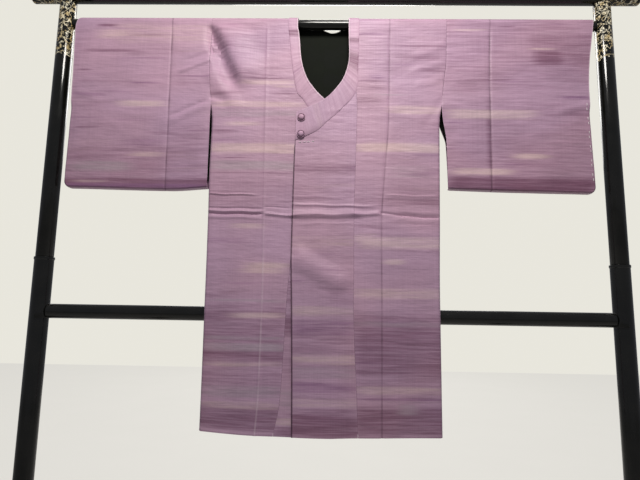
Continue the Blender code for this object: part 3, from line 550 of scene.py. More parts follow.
# Camera, found from the stand's straight tubes, and the studio
PICTURE_WIDTH = 640
FOCAL_LENGTH = 481
EYE = (0.002, -1.147, 0.887)
YAW, PITCH, ROLL = math.radians(-1.18), math.radians(7.96), math.radians(0.94)
SENSOR_MM = 36.0
FLOOR_HALF = 6
FLOOR_TONES = ((0.60, 0.585, 0.55), (0.64, 0.62, 0.585))
FLOOR_SHOWN = (0.84, 0.82, 0.765, 1.0)
FLOOR_SHOWN_SHARE = 0.80
WALL_SHOWN = (0.90, 0.88, 0.80, 1.0)
WALL_STRENGTH = 0.90
ROOM_LIGHT = (0.90, 0.92, 1.0, 1.0)
ROOM_STRENGTH = 0.27
WARM_LIGHT = (1.0, 0.98, 0.95)
# Each lamp's place, aim, width, power and colour
LIGHTS = {
    "key": ((0.05, -0.80, 2.25), (0.0, 0.0, 1.32), 0.42, 16.5, (1.0, 0.96, 0.90)),
    "back": ((0.0, 1.6, 2.4), (0.0, 0.3, 1.0), 1.2, 26.0, WARM_LIGHT),
    "floor_glow": ((0.0, 4.6, 2.6), (0.0, 4.6, 0.0), 4.0, 90.0, WARM_LIGHT),
}


def smooth(at, low, high):
    share = np.clip((at - low) / (high - low), 0.0, 1.0)
    return share * share * (3 - 2 * share)


def follow(rows, at, value, key="drop"):
    """Values of a column where the key column reaches `at`, on a smooth curve through the rows."""
    keys = np.array([getattr(row, key) for row in rows])
    values = np.array([getattr(row, value) for row in rows])
    steps = np.diff(keys)
    slopes = np.diff(values) / steps
    tangents = np.concatenate((slopes[:1], np.zeros(len(rows) - 2), slopes[-1:]))
    same_way = slopes[:-1] * slopes[1:] > 0
    sums = np.where(same_way, slopes[:-1] + slopes[1:], 1.0)
    tangents[1:-1] = np.where(same_way, 2 * slopes[:-1] * slopes[1:] / sums, 0.0)
    at = np.clip(at, keys[0], keys[-1])
    cell = np.clip(np.searchsorted(keys, at, side="right") - 1, 0, len(steps) - 1)
    share = (at - keys[cell]) / steps[cell]
    rest = 1 - share
    return (
        (1 + 2 * share) * rest**2 * values[cell]
        + share * rest**2 * steps[cell] * tangents[cell]
        + share**2 * (3 - 2 * share) * values[cell + 1]
        - share**2 * rest * steps[cell] * tangents[cell + 1]
    )


def side_of(path):
    """-1 on the front and 1 on the back."""
    return np.where(path < 0, -1.0, 1.0)


def path_of(drop, side):
    return side * (ARCH_HALF + drop - OVER_ROD_R)


def drop_of(path):
    angle = np.minimum(np.abs(path), ARCH_HALF) / OVER_ROD_R
    return OVER_ROD_R * (1 - np.cos(angle)) + np.maximum(np.abs(path) - ARCH_HALF, 0.0)


def fold_heights(folds, x, drop):
    total = np.zeros(np.shape(x))
    for fold in folds:
        run_x, run_drop = fold.end_x - fold.x, fold.end_drop - fold.drop
        length = math.hypot(run_x, run_drop)
        along = ((x - fold.x) * run_x + (drop - fold.drop) * run_drop) / length**2
        off = ((drop - fold.drop) * run_x - (x - fold.x) * run_drop) / length
        inside = np.clip(along, 0.0, 1.0)
        off = off - math.copysign(1, run_x) * fold.bow * 4 * inside * (1 - inside)
        off = off + FOLD_WANDER * np.sin(along * length * 85 + fold.x * 40)
        half = np.where(off * run_x < 0, fold.half * fold.lee, fold.half)
        away = np.clip(np.abs(off) / half, 0.0, 1.0)
        shape = (1 - fold.sharp) * (1 - away**2) ** 2 + fold.sharp * (1 - away) ** 2
        ends = smooth(along, *FOLD_START) * (1 - smooth(along, *FOLD_END))
        total += fold.height * shape * ends
    return total


def waves(x, drop, side):
    """Slow waves of the hanging cloth, which grow towards the hem."""
    height = smooth(drop, 0.05, 0.35) * (0.0005 + 0.0010 * drop)
    slow = np.sin(2 * math.pi * x / 0.34 + 1.1 * side + 0.9 * drop)
    quick = np.sin(2 * math.pi * x / 0.17 - 0.8 * side + 2.3 * drop)
    return height * (slow + 0.45 * quick)


def unevenness(x, drop, side):
    """Small swells that keep worn silk from lying quite flat."""
    broad = np.sin(54 * x + 17 * drop + 2.1 * side + 1.4 * np.sin(15 * drop))
    cross = np.sin(71 * drop - 22 * x + 0.7 * side + 1.1 * np.sin(31 * x))
    fine = np.sin(120 * drop + 64 * x + 1.6 * np.sin(43 * x + side))
    return 0.00022 * broad + 0.00018 * cross + 0.00010 * fine


def relief(x, drop, side):
    """Height of all folds and swells, which begins below the rod."""
    dragged = fold_heights(DRAG_FOLDS, x, drop) * smooth(x, DRAG_FROM_X, DRAG_TO_X)
    begun = smooth(drop, OVER_ROD_R, RELIEF_DROP)
    front = fold_heights(FRONT_FOLDS, x, drop) * begun
    front = front + dragged * smooth(drop, OVER_ROD_R, DRAG_DROP)
    back = fold_heights(BACK_FOLDS, x, drop) * begun
    return np.where(side < 0, front, back) + unevenness(x, drop, side) * begun


def hung(x, path, level=0.0, hang=BODY_HANG, fullness=1.0, height=0.0):
    """Points `level` outside the hung surface; fullness is 1 on open cloth and 0 at a sewn edge."""
    side = side_of(path)
    drop = drop_of(path)
    angle = np.clip(path, -ARCH_HALF, ARCH_HALF) / OVER_ROD_R
    depth = follow(hang, drop, "depth") + level + waves(x, drop, side) + height
    depth = SEAM_HALF_GAP + (depth - SEAM_HALF_GAP) * fullness
    below = np.abs(path) > ARCH_HALF
    radius = OVER_ROD_R + level + height
    y = np.where(below, side * depth - follow(hang, drop, "lean"), radius * np.sin(angle))
    z = np.where(below, COAT_TOP_Z - drop, ROD_Z + radius * np.cos(angle))
    return np.stack(np.broadcast_arrays(x, y, z), axis=-1)


def roundness(distance, width):
    """0 at a sewn edge, rising on a quarter circle to 1 at `width` from it."""
    return np.sqrt(np.clip(1 - (1 - np.clip(distance / width, 0.0, 1.0)) ** 2, 0.0, 1.0))


def spread(start, end, step):
    """Evenly spaced values from start to end, about a step apart."""
    count = max(2, int(math.ceil(abs(end - start) / step)) + 1)
    return np.linspace(start, end, count)


def slowing(step):
    """Shares from 0 to 1 that lie closer towards 1."""
    return 1 - (1 - spread(0, 1, step)) ** 2


def joined(step, *stops):
    """Drops from stop to stop; a stop is a drop, or a drop with the step of the run up to it."""
    runs = [np.array([stops[0]])]
    for stop in stops[1:]:
        end, run_step = stop if isinstance(stop, tuple) else (stop, step)
        runs.append(spread(runs[-1][-1], end, run_step)[1:])
    return np.concatenate(runs)


def streak_masks(streaks, x, drop):
    masks = np.zeros((*x.shape, 4))
    for streak in streaks:
        ends = min(0.045, (streak.end_x - streak.x) / 2.5)
        edge = min(0.0035 + 0.15 * streak.height, streak.height / 2)
        across = smooth(x, streak.x - ends, streak.x + ends)
        across = across * (1 - smooth(x, streak.end_x - ends, streak.end_x + ends))
        away = np.abs(drop - streak.drop)
        across = across * (1 - smooth(away, streak.height / 2 - edge, streak.height / 2 + edge))
        tone = masks[..., streak.tone]
        masks[..., streak.tone] = np.maximum(tone, streak.strength * across)
    return masks


def faces_outwards(points, side):
    """Whether a grid's columns and rows turn so that its faces look away from the other layer."""
    across = points[1:, 1:] - points[1:, :-1]
    along = points[1:, 1:] - points[:-1, 1:]
    towards_back = across[..., 2] * along[..., 0] - across[..., 0] * along[..., 2]
    return np.sum(towards_back * side[1:, 1:]) > 0


def crease_line(crease, x, drop):
    """A pressed crease gets a thin painted line: a painted highlight above 0, painted shade under
    0, uneven along it.
    """
    away = np.abs(x - follow(crease.line, drop, "x"))
    uneven = 0.68 + 0.32 * np.sin(23 * drop + 40 * crease.line[0].x) * np.sin(61 * drop)
    if crease.ink > 0:
        uneven = uneven * (0.15 + 0.85 * smooth(drop, 0.45, 0.70))
    return crease.ink * uneven * np.clip(1.4 - away / CREASE_WIDTH, 0.0, 1.0)


def edge_line(distance, strength, width=0.0016):
    return strength * np.clip(1.5 - distance / width, 0.0, 1.0)


def streaks_all_round(streaks, x, drop, side):
    """The streaks listed for the front, and others like them on the back."""
    middle = 0.5 * (np.min(x) + np.max(x))
    front = streak_masks(streaks, x, np.where(side < 0, drop, -1.0))
    back = streak_masks(streaks, 2 * middle - x, np.where(side < 0, -1.0, 1.03 * drop - 0.036))
    return np.maximum(front, back)


def point_values(mesh, name, kind, values):
    """Stores a value for each point of a mesh, for its material to read."""
    field = {"FLOAT": "value", "FLOAT_COLOR": "color", "FLOAT_VECTOR": "vector"}[kind]
    stored = mesh.attributes.new(name, kind, "POINT")
    stored.data.foreach_set(field, np.ascontiguousarray(values).ravel())


def put_in_scene(name, data):
    made = bpy.data.objects.new(name, data)
    bpy.context.scene.collection.objects.link(made)
    return made


def apply_modifier(piece, kind, **settings):
    modifier = piece.modifiers.new(kind.title(), kind)
    for setting, value in settings.items():
        setattr(modifier, setting, value)
    bpy.context.view_layer.objects.active = piece
    bpy.ops.object.modifier_apply(modifier=modifier.name)


def declare(piece, node):
    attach(piece, "root")
    if node:
        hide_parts(node)
    return piece


Cloth = namedtuple("Cloth", "material slot")


def cloth_mesh(name, node, layout, side, points, wall, cloth, shift):
    """A shell of cloth on a grid of points, its thickness set inwards.

    The layout holds the grid's values for the material: x and path, then any streaks and lines.
    """
    if not faces_outwards(points, side):
        points = points[:, ::-1]
        layout = [values[:, ::-1] for values in layout]
    x, path, *marks = layout
    index = np.arange(x.size).reshape(x.shape)
    corners = (index[:-1, :-1], index[:-1, 1:], index[1:, 1:], index[1:, :-1])
    faces = np.stack(corners, axis=-1).reshape(-1, 4)
    mesh = bpy.data.meshes.new(name)
    mesh.from_pydata(points.reshape(-1, 3).tolist(), [], faces.tolist())
    places = np.stack((x, path, np.full(x.shape, shift)), axis=-1)
    point_values(mesh, "cloth", "FLOAT_VECTOR", places)
    for label, kind, values in zip(("streaks", "lines"), ("FLOAT_COLOR", "FLOAT"), marks):
        point_values(mesh, label, kind, values)
    mesh.materials.append(cloth.material)
    mesh.shade_smooth()
    piece = put_in_scene(name, mesh)
    apply_modifier(piece, "SOLIDIFY", thickness=wall, offset=-1.0, use_even_offset=True)
    piece.data.set_sharp_from_angle(angle=EDGE_ANGLE)
    return declare(piece, node)


def neck_x(curve, path):
    """x of an edge of the neck band on the back, where the cloth has run `path` from the ridge."""
    share = np.clip(path / curve.reach, 0.0, 1.0)
    return curve.lowest_x + curve.half * (1 - share**curve.fall) ** (1 / curve.narrowing)


def hem_path(hem, x, drop, side, blend_from, lowest):
    """Path after the lower part of the cloth is stretched to follow the hem line."""
    share = np.clip((drop - blend_from) / (lowest - blend_from), 0.0, None)
    bottom = follow(hem, x, "drop", key="x")
    stretched = np.where(share > 0, blend_from + share * (bottom - blend_from), drop)
    return side * (ARCH_HALF + stretched - OVER_ROD_R)


def columns_across(inner, crease, outer):
    """Columns from the inner edge over the crease to the outer edge, closer set at all three."""
    towards = np.sign(outer[0] - inner[0])
    seam = inner + towards * EDGE_COLUMNS
    near = crease - towards * CREASE_HALF
    far = crease + towards * CREASE_HALF
    edge = outer - towards * SIDE_ROUND
    x = [inner[:, None]]
    for start, end, shares in (
        (inner, seam, spread(0, 1, SEAM_SHARE)),
        (seam, near, spread(0, 1, COLUMN_STEP / abs(near[-1] - seam[-1]))),
        (near, far, spread(0, 1, CREASE_SHARE)),
        (far, edge, spread(0, 1, COLUMN_STEP / abs(edge[-1] - far[-1]))),
        (edge, outer, slowing(ROUND_SHARE)),
    ):
        x.append(start[:, None] + (end - start)[:, None] * shares[1:])
    return np.concatenate(x, axis=1)


def crease_height(crease, x, drop):
    away = np.abs(x - follow(crease.line, drop, "x")) / CREASE_HALF
    rise = np.clip(1 - away, 0.0, 1.0) ** 1.6
    return crease.height * rise * smooth(drop, OVER_ROD_R, RELIEF_DROP)


def body_paths():
    neck_reach = NECK_OUTER_LEFT.reach + 2 * GAP
    above_hem = LOWEST_ROW - HEM_ROWS
    front = joined(FRONT_STEP, LOWEST_ROW, (above_hem, HEM_STEP), CREASED_TO,
                   (CREASED_FROM, CREASED_STEP), OVER_ROD_R)
    back = joined(BACK_STEP, drop_of(neck_reach), CREASED_FROM,
                  (CREASED_TO + 0.005, BACK_CREASED_STEP), above_hem, (LOWEST_ROW, HEM_STEP))
    arch = spread(-ARCH_HALF, ARCH_HALF, ARCH_STEP)
    neck = NECK_START + (neck_reach - NECK_START) * np.sin(spread(0.0, math.pi / 2, NECK_SHARE))
    return np.concatenate((path_of(front, -1), arch[1:], neck, path_of(back, 1)[1:]))


def body_inner_edge(edges, paths):
    """x of a body piece's inner edge: the front seam, under the neck band, then the back seam."""
    towards = math.copysign(1, edges[0].inner - CENTRE_X)
    left = towards > 0
    drop = drop_of(paths)
    under = UNDER_BAND * (1 - smooth(drop, *(BAND_LEAVES_LEFT if left else BAND_LEAVES_RIGHT)))
    front = follow(edges, drop, "inner") - towards * under
    curve = NECK_OUTER_LEFT if left else NECK_OUTER_RIGHT
    neck = neck_x(curve, np.maximum(paths - GAP, 0.0)) + towards * (2 * GAP - UNDER_BAND)
    seam = CENTRE_X + towards * GAP / 2
    neck = np.where(towards * (neck - seam) > 0, neck, seam)
    back = np.where(paths >= curve.reach + GAP, seam, neck)
    return np.where(paths <= 0, front, back)


def left_front_level(x, drop):
    """The left front rises to lie on the right one near their overlap."""
    return OVERLAP_LEVEL * smooth(-x, *LAP_RISES_X) * smooth(drop, *LAP_RISES_DROP)


def seam_dip(distance, width=0.0035, depth=0.0004):
    """A sewn seam draws the cloth in a little on both its sides."""
    return -depth * np.clip(1 - distance / width, 0.0, 1.0) ** 1.5


def edge_ridge(distance, height, at, half):
    """An edge is turned in over its own thickness, which shows as a low ridge beside it."""
    return height * np.clip(1 - np.abs(distance - at) / half, 0.0, 1.0)


def body_piece(name, node, edges, crease, cloth, streaks, shift):
    paths = body_paths()
    drops = drop_of(paths)
    inner = body_inner_edge(edges, paths)
    outer = follow(edges, drops, "outer")
    x = columns_across(inner, follow(crease.line, drops, "x"), outer)
    path = np.broadcast_to(paths[:, None], x.shape)
    drop = drop_of(path)
    side = side_of(path)
    closed = smooth(drop, *SIDE_CLOSED)
    from_side = np.abs(outer[:, None] - x)
    fullness = 1 - closed * (1 - roundness(from_side, SIDE_ROUND))
    level = np.where((side < 0) & (x > 0), left_front_level(x, drop), 0.0)
    total = relief(x, drop, side) + crease_height(crease, x, drop)
    front_seam = FRONT_SEAM_LEFT if edges[0].outer > CENTRE_X else FRONT_SEAM_RIGHT
    sewn = np.where(side < 0, smooth(drop, *front_seam), smooth(path, *BACK_SEAM))
    total = total + sewn * seam_dip(np.abs(x - inner[:, None]))
    total = total + (1 - closed) * smooth(drop, *SEAM_STARTS) * seam_dip(from_side)
    total = total + edge_ridge(LOWEST_ROW - drop, *HEM_RIDGE)
    moved = hem_path(BODY_HEM, x, drop, side, HEM_BLEND_FROM, LOWEST_ROW)
    points = hung(x, moved, level, BODY_HANG, fullness, total)
    masks = streaks_all_round(streaks, x, drop, side)
    layout = [x, path, masks, crease_line(crease, x, drop)]
    return cloth_mesh(name, node, layout, side, points, SILK_WALL, cloth, shift)


def corner_pull(from_edge, above_hem):
    """How far the sleeve's round corner draws a point in from the straight edge."""
    rest = np.clip(SLEEVE_CORNER_R - above_hem, 0.0, None)
    reach = SLEEVE_CORNER_R - np.sqrt(SLEEVE_CORNER_R**2 - rest**2)
    return reach * np.clip(1 - from_edge / (3 * SLEEVE_CORNER_R), 0.0, 1.0)


def sleeve_piece(name, node, edges, hem, crease, cloth, streaks, shift):
    """Sleeve: open at the body end and at the cuff, sewn at the bottom and below the cuff."""
    front = spread(SLEEVE_LOWEST_ROW, OVER_ROD_R, FRONT_STEP)
    back = spread(OVER_ROD_R, SLEEVE_LOWEST_ROW, BACK_STEP)
    arch = spread(-ARCH_HALF, ARCH_HALF, ARCH_STEP)
    round_rows = SLEEVE_ROUND * slowing(ROUND_SHARE)[:-1]
    ends = np.ones(len(round_rows))
    paths = np.concatenate((-ends, path_of(front, -1), arch[1:-1], path_of(back, 1), ends))
    above = np.full(len(paths), np.nan)
    above[: len(round_rows)] = round_rows
    above[-len(round_rows):] = round_rows[::-1]
    at_bottom = ~np.isnan(above)
    drops = np.where(at_bottom, SLEEVE_LOWEST_ROW, drop_of(paths))
    inner = np.where(paths < 0, follow(edges, drops, "inner"), follow(edges, drops, "inner_back"))
    outer = follow(edges, drops, "outer")
    x = columns_across(inner, follow(crease.line, drops, "x"), outer)
    side = np.broadcast_to(side_of(paths)[:, None], x.shape)
    bottom = follow(hem, x, "drop", key="x")
    blend = SLEEVE_LOWEST_ROW - SLEEVE_BLEND_FROM
    share = np.clip((drops[:, None] - SLEEVE_BLEND_FROM) / blend, 0, 1)
    blended = SLEEVE_BLEND_FROM + share * (bottom - SLEEVE_ROUND - SLEEVE_BLEND_FROM)
    drop = np.where(share > 0, blended, drops[:, None])
    drop = np.where(at_bottom[:, None], bottom - np.nan_to_num(above)[:, None], drop)
    from_edge = np.abs(outer[:, None] - x)
    from_body = np.abs(x - inner[:, None])
    closed = smooth(drop, *CUFF_CLOSED)
    fullness = 1 - closed * (1 - roundness(from_edge, SLEEVE_ROUND))
    fullness = fullness * roundness(bottom - drop, SLEEVE_ROUND)
    pulled = np.where(drop > ARMHOLE_DROP, corner_pull(from_edge, bottom - drop), 0.0)
    total = relief(x, drop, side) + crease_height(crease, x, drop)
    sewn = (1 - smooth(drop, *SLEEVE_SEAM_ENDS)) * smooth(drop, *SEAM_STARTS)
    total = total + sewn * seam_dip(from_body)
    total = total + edge_ridge(bottom - drop, *SLEEVE_RIDGE)
    arched = np.abs(paths)[:, None] <= ARCH_HALF
    path = np.where(arched, paths[:, None], path_of(drop, side))
    towards = np.sign(outer[0] - inner[0])
    points = hung(x - towards * pulled, path, 0.0, SLEEVE_HANG, fullness, total)
    masks = streaks_all_round(streaks, x, drop, side)
    # Painted highlights along the bottom and the cuff edge, partly the lighter rolled edge; the
    # crease's painted line wins where it is stronger
    rim = edge_line(bottom - drop, BOTTOM_RIM) + edge_line(from_edge, CUFF_RIM)
    lines = crease_line(crease, x, drop)
    lines = np.where(np.abs(lines) > rim, lines, np.minimum(rim, RIM_MOST))
    layout = [x, path, masks, lines]
    return cloth_mesh(name, node, layout, side, points, SILK_WALL, cloth, shift)


def smooth_rows(rows, steps):
    """Values between rows on a smooth curve through them, each span cut into `steps`."""
    values = np.array(rows)
    padded = np.vstack((2 * values[0] - values[1], values, 2 * values[-1] - values[-2]))
    shares = np.linspace(0, 1, steps, endpoint=False)[:, None]
    runs = []
    for before, start, end, after in zip(padded, padded[1:], padded[2:], padded[3:]):
        runs.append(
            start
            + 0.5 * shares * (end - before)
            + shares**2 * (before - 2.5 * start + 2 * end - 0.5 * after)
            + shares**3 * (1.5 * (start - end) + 0.5 * (after - before))
        )
    return np.vstack(runs + [values[-1:]])


def band_grid(rows, inner_curve, outer_curve):
    """Edges and level of a front length of the neck band, from its lapped end over the rod."""
    front = smooth_rows(rows[::-1], 12).T
    arch = spread(path_of(rows[0].inner_drop, -1), ARCH_HALF, ARCH_STEP)[1:]
    edges = []
    for x, drop, first, curve in ((front[0], front[1], rows[0].inner_x, inner_curve),
                                  (front[2], front[3], rows[0].outer_x, outer_curve)):
        over_rod = np.where(arch <= 0, first, neck_x(curve, np.maximum(arch, 0)))
        edges += [np.concatenate((x, over_rod)), np.concatenate((path_of(drop, -1), arch))]
    return (*edges, np.concatenate((front[4], np.full(len(arch), BAND_LEVEL))))


def band_shares():
    """Columns across the neck band, closer set at both its edges."""
    near, far = BAND_EDGE_SHARE, 1 - BAND_EDGE_SHARE
    return np.concatenate((near * slowing(0.25), spread(near, far, 0.09)[1:],
                           far + near * spread(0, 1, 0.25)[1:] ** 2))


def band_lines(lapped, along, from_inner, width, row_drop):
    """The band's light inner edge, partly a painted highlight, and its row of stitches, and painted
    shadow and shade at the lapped end.
    """
    shown = smooth(-row_drop, *BAND_RIM_SHOWN) if lapped else 1.0
    rim = edge_line(from_inner, BAND_RIM) * shown
    stitched = edge_line(np.abs(from_inner - BAND_STITCH_IN), BAND_STITCH_INK, BAND_STITCH_WIDTH)
    lines = np.where(rim > 0, rim, -stitched)
    if lapped:
        # Painted shade along the lower edge near the lapped end, and painted shadow along the end
        # itself
        below = smooth(along, *LAPPED_END) * smooth(from_inner, width - LAPPED_SHADE, width)
        dark = np.maximum(0.30 * below, edge_line(along, LAPPED_SHADOW, 0.0020))
        lines = np.where(dark > 0.02, -dark, lines)
    return lines


def band_piece(name, node, grid, cloth, streaks, shift):
    inner_x, inner_path, outer_x, outer_path, level = grid
    shares = band_shares()
    x = inner_x[:, None] + (outer_x - inner_x)[:, None] * shares
    path = inner_path[:, None] + (outer_path - inner_path)[:, None] * shares
    drop = drop_of(path)
    side = side_of(path)
    swell = BAND_SWELL * np.sqrt(np.clip(1 - (2 * shares - 1) ** 6, 0.0, 1.0))
    height = relief(x, drop, side) * 0.5 + swell
    points = hung(x, path, level[:, None], BODY_HANG, 1.0, height)
    length = np.cumsum(np.hypot(np.gradient(x.mean(axis=1)), np.gradient(path.mean(axis=1))))
    along = np.broadcast_to(length[:, None], x.shape)
    width = np.hypot(outer_x - inner_x, outer_path - inner_path)[:, None]
    row_drop = np.broadcast_to(np.where(side < 0, drop, -1.0).mean(axis=1)[:, None], x.shape)
    masks = streak_masks(streaks, x, row_drop)
    lines = band_lines(name == "left_band", along, shares * width, width, row_drop)
    layout = [(shares - 0.5) * width, along, masks, lines]
    return cloth_mesh(name, node, layout, side, points, BAND_WALL, cloth, shift)


def back_band_grid():
    shares = np.sin(spread(0.0, math.pi / 2, 0.065))
    halves = []
    for inner, outer, run in ((NECK_INNER_RIGHT, NECK_OUTER_RIGHT, shares),
                              (NECK_INNER_LEFT, NECK_OUTER_LEFT, shares[-2::-1])):
        paths = [NECK_START + run * (curve.reach - NECK_START) for curve in (inner, outer)]
        halves.append((neck_x(inner, paths[0]), paths[0], neck_x(outer, paths[1]), paths[1]))
    columns = [np.concatenate(pair) for pair in zip(*halves)]
    return (*columns, np.full(len(columns[0]), BAND_LEVEL))


def overlap_piece(name, node, band, edges, free_edge, level, cloth, streaks, shift):
    """Front panel from the neck band's lower edge to the hem, from its seam to its free edge."""
    towards = math.copysign(1, free_edge[0].x - band[0].outer_x)
    tops = smooth_rows(band, 8)
    top_x, top_drop = tops[:, 2], tops[:, 3] - UNDER_BAND
    run = top_x[-1] - top_x[0]
    known = (top_x - top_x[0]) / run
    share = np.sort(np.concatenate((known, 1 - FREE_EDGE_COLUMNS / abs(run))))
    top_x, top_drop = np.interp(share, known, top_x), np.interp(share, known, top_drop)
    straight = band[-1].outer_drop + STRAIGHT_BELOW_BAND
    blends = spread(0, 1, TOP_SHARE)[:-1]
    lower = joined(FRONT_STEP, straight, CREASED_FROM, (CREASED_TO, CREASED_STEP),
                   LOWEST_ROW - HEM_ROWS, (LOWEST_ROW, HEM_STEP))
    drop = np.concatenate((
        top_drop * (1 - blends[:, None]) + straight * blends[:, None],
        np.broadcast_to(lower[:, None], (len(lower), len(share))),
    ))
    seam = follow(edges, drop, "inner") + towards * GAP
    free = follow(free_edge, drop, "x")
    x = seam + share * (free - seam)
    fixed = np.concatenate((1 - smooth(blends, 0.0, 1.0), np.zeros(len(lower))))[:, None]
    x = x + fixed * (top_x - x) * smooth(share, 0.0, 0.15)
    side = np.full(x.shape, -1.0)
    moved = hem_path(BODY_HEM, x, drop, side, HEM_BLEND_FROM, LOWEST_ROW)
    height = relief(x, drop, side) + edge_ridge(LOWEST_ROW - drop, *HEM_RIDGE)
    height = height + seam_dip(np.abs(x - seam))
    from_free = np.abs(x - free)
    turned_in = np.clip(1 - from_free / TURNED_EDGE, 0, 1) * smooth(drop, *EDGE_LIFTS)
    height = height + EDGE_LIFT * turned_in**0.5
    points = hung(x, moved, level, BODY_HANG, 1.0, height)
    # Painted shadow along the free edge
    lines = edge_line(from_free, FREE_EDGE_SHADOW, FREE_EDGE_WIDTH)
    layout = [x, path_of(drop, -1), streak_masks(streaks, x, drop), lines]
    return cloth_mesh(name, node, layout, side, points, SILK_WALL, cloth, shift)


def lining_level(drop):
    """The lining lies against the face cloth over the rod and hangs a little free of it below."""
    return LINING_LEVEL - LINING_SLACK * smooth(drop, OVER_ROD_R, 0.055)


def lining_body_piece(name, node, edges, cloth, shift):
    towards = math.copysign(1, edges[0].inner - CENTRE_X)
    left = towards > 0
    curve = NECK_INNER_LEFT if left else NECK_INNER_RIGHT
    neck_reach = curve.reach + 0.001
    front = path_of(joined(LINING_STEP, LINING_LOWEST, 0.330, (OVER_ROD_R, LINING_STEP / 2)), -1)
    arch = spread(-ARCH_HALF, ARCH_HALF, LINING_ARCH_STEP)[1:]
    neck = NECK_START + (neck_reach - NECK_START) * np.sin(spread(0.1, math.pi / 2, 0.1))
    back = path_of(spread(drop_of(neck_reach + 0.003), LINING_LOWEST, LINING_STEP), 1)
    paths = np.concatenate((front, arch, neck, back))
    drops = drop_of(paths)
    seam = follow(edges, drops, "inner") + towards * LINING_EDGE
    on_neck = neck_x(curve, np.maximum(paths - 0.001, 0.0)) + towards * GAP
    centre = CENTRE_X + towards * (GAP if left else -LINING_LAP)
    inner = np.where(paths <= 0, seam, np.where(paths > neck_reach + 0.001, centre, on_neck))
    drawn_in = LINING_EDGE + smooth(drops, *LINING_SIDE_CLOSED) * SIDE_ROUND * LINING_CLEARANCE
    outer = follow(edges, drops, "outer") - towards * drawn_in
    return lining_piece(name, node, paths, inner, outer, BODY_HANG, cloth, shift)


def lining_sleeve_piece(name, node, edges, cloth, shift):
    towards = math.copysign(1, edges[0].outer - edges[0].inner)
    down = spread(OVER_ROD_R, SLEEVE_LINING_LOWEST, LINING_STEP)
    arch = spread(-ARCH_HALF, ARCH_HALF, LINING_ARCH_STEP)[1:]
    paths = np.concatenate((path_of(down[::-1], -1), arch, path_of(down, 1)[1:]))
    drops = drop_of(paths)
    back = paths > 0
    slit = np.where(back, smooth(drops, *LINING_SLIT), 0.0)
    inner = np.where(back, follow(edges, drops, "inner_back"), follow(edges, drops, "inner"))
    inner = inner + towards * (LINING_EDGE * (1 - slit) + 0.0005 * slit)
    drawn_in = LINING_EDGE + smooth(drops, *LINING_CUFF_CLOSED) * SLEEVE_ROUND * LINING_CLEARANCE
    outer = follow(edges, drops, "outer") - towards * drawn_in
    return lining_piece(name, node, paths, inner, outer, SLEEVE_HANG, cloth, shift)


def lining_piece(name, node, paths, inner, outer, hang, cloth, shift):
    x = inner[:, None] + (outer - inner)[:, None] * spread(0, 1, LINING_COLUMN_SHARE)
    path = np.broadcast_to(paths[:, None], x.shape)
    drop = drop_of(path)
    side = side_of(path)
    # At the centre back the right half passes behind the left one
    near_centre = np.clip(1 - np.abs(x - CENTRE_X) / LINING_LAP_WIDTH, 0.0, 1.0)
    behind = LINING_BEHIND * near_centre * (path > OVER_ROD_R) if name == "right_lining" else 0.0
    sunk = np.minimum(relief(x, drop, side) + 0.0004, 0.0)
    points = hung(x, path, lining_level(drop) - behind, hang, 1.0, sunk)
    return cloth_mesh(name, node, [x, path], side, points, LINING_WALL, cloth, shift)


def pick_end(piece, direction):
    """Selects the flat end of a piece that faces a direction."""
    shape = bmesh.from_edit_mesh(piece.data)
    turn = piece.matrix_world.to_3x3()
    for part in (*shape.verts, *shape.edges, *shape.faces):
        part.select = False
    for face in shape.faces:
        if (turn @ face.normal).dot(direction) > 0.99:
            face.select_set(True)
    bmesh.update_edit_mesh(piece.data)


def turned(name, start, end, radius, start_steps=(), end_steps=(), sides=ROUND_SIDES):
    """A round piece from start to end, each end drawn out in steps of a reach and a radius."""
    start, end = Vector(start), Vector(end)
    axis = (end - start).normalized()
    bpy.ops.object.select_all(action="DESELECT")
    bpy.ops.mesh.primitive_cylinder_add(
        vertices=sides, radius=radius, depth=(end - start).length, location=(start + end) / 2,
        rotation=axis.to_track_quat("Z", "Y").to_euler(),
    )
    piece = bpy.context.active_object
    piece.name = name
    bpy.ops.object.mode_set(mode="EDIT")
    for place, direction, steps in ((start, -axis, start_steps), (end, axis, end_steps)):
        pick_end(piece, direction)
        width = radius
        for reach, wider in steps:
            bpy.ops.mesh.extrude_region_move(TRANSFORM_OT_translate={"value": direction * reach})
            place = place + direction * reach
            bpy.ops.transform.resize(value=[wider / width] * 3, center_override=place)
            width = wider
    bpy.ops.object.mode_set(mode="OBJECT")
    return piece


def round_off(piece, width, segments=3):
    apply_modifier(piece, "BEVEL", width=width, segments=segments, limit_method="ANGLE",
                   angle_limit=CORNER_ANGLE)


def join(*pieces):
    bpy.ops.object.select_all(action="DESELECT")
    for piece in pieces:
        piece.select_set(True)
    bpy.context.view_layer.objects.active = pieces[0]
    bpy.ops.object.join()
    return pieces[0]


def finish_piece(piece, node, material):
    bpy.ops.object.select_all(action="DESELECT")
    piece.select_set(True)
    bpy.context.view_layer.objects.active = piece
    bpy.ops.object.transform_apply(location=True, rotation=True, scale=True)
    bpy.ops.object.shade_smooth_by_angle(angle=EDGE_ANGLE)
    piece.data.materials.clear()
    piece.data.materials.append(material)
    return declare(piece, node)


def lower_post(name, node, x, material):
    """The wider length of a post, with a foot flange and a rolled lip round its socket."""
    bottom = FOOT_HEIGHT + GAP + sum(reach for reach, radius in FLANGE)
    top = SOCKET_TOP_Z - SOCKET_LIP_LENGTH - 0.0015
    post = turned(name, (x, 0, bottom), (x, 0, top), POST_LOWER_R, FLANGE, SOCKET_LIP)
    return finish_piece(post, node, material)


def softened(radius):
    """Steps that take the sharp edge off an end, and how far they reach."""
    steps = [(0.0004, radius - 0.0002), (0.0003, radius - 0.0008)]
    return steps, 0.0007


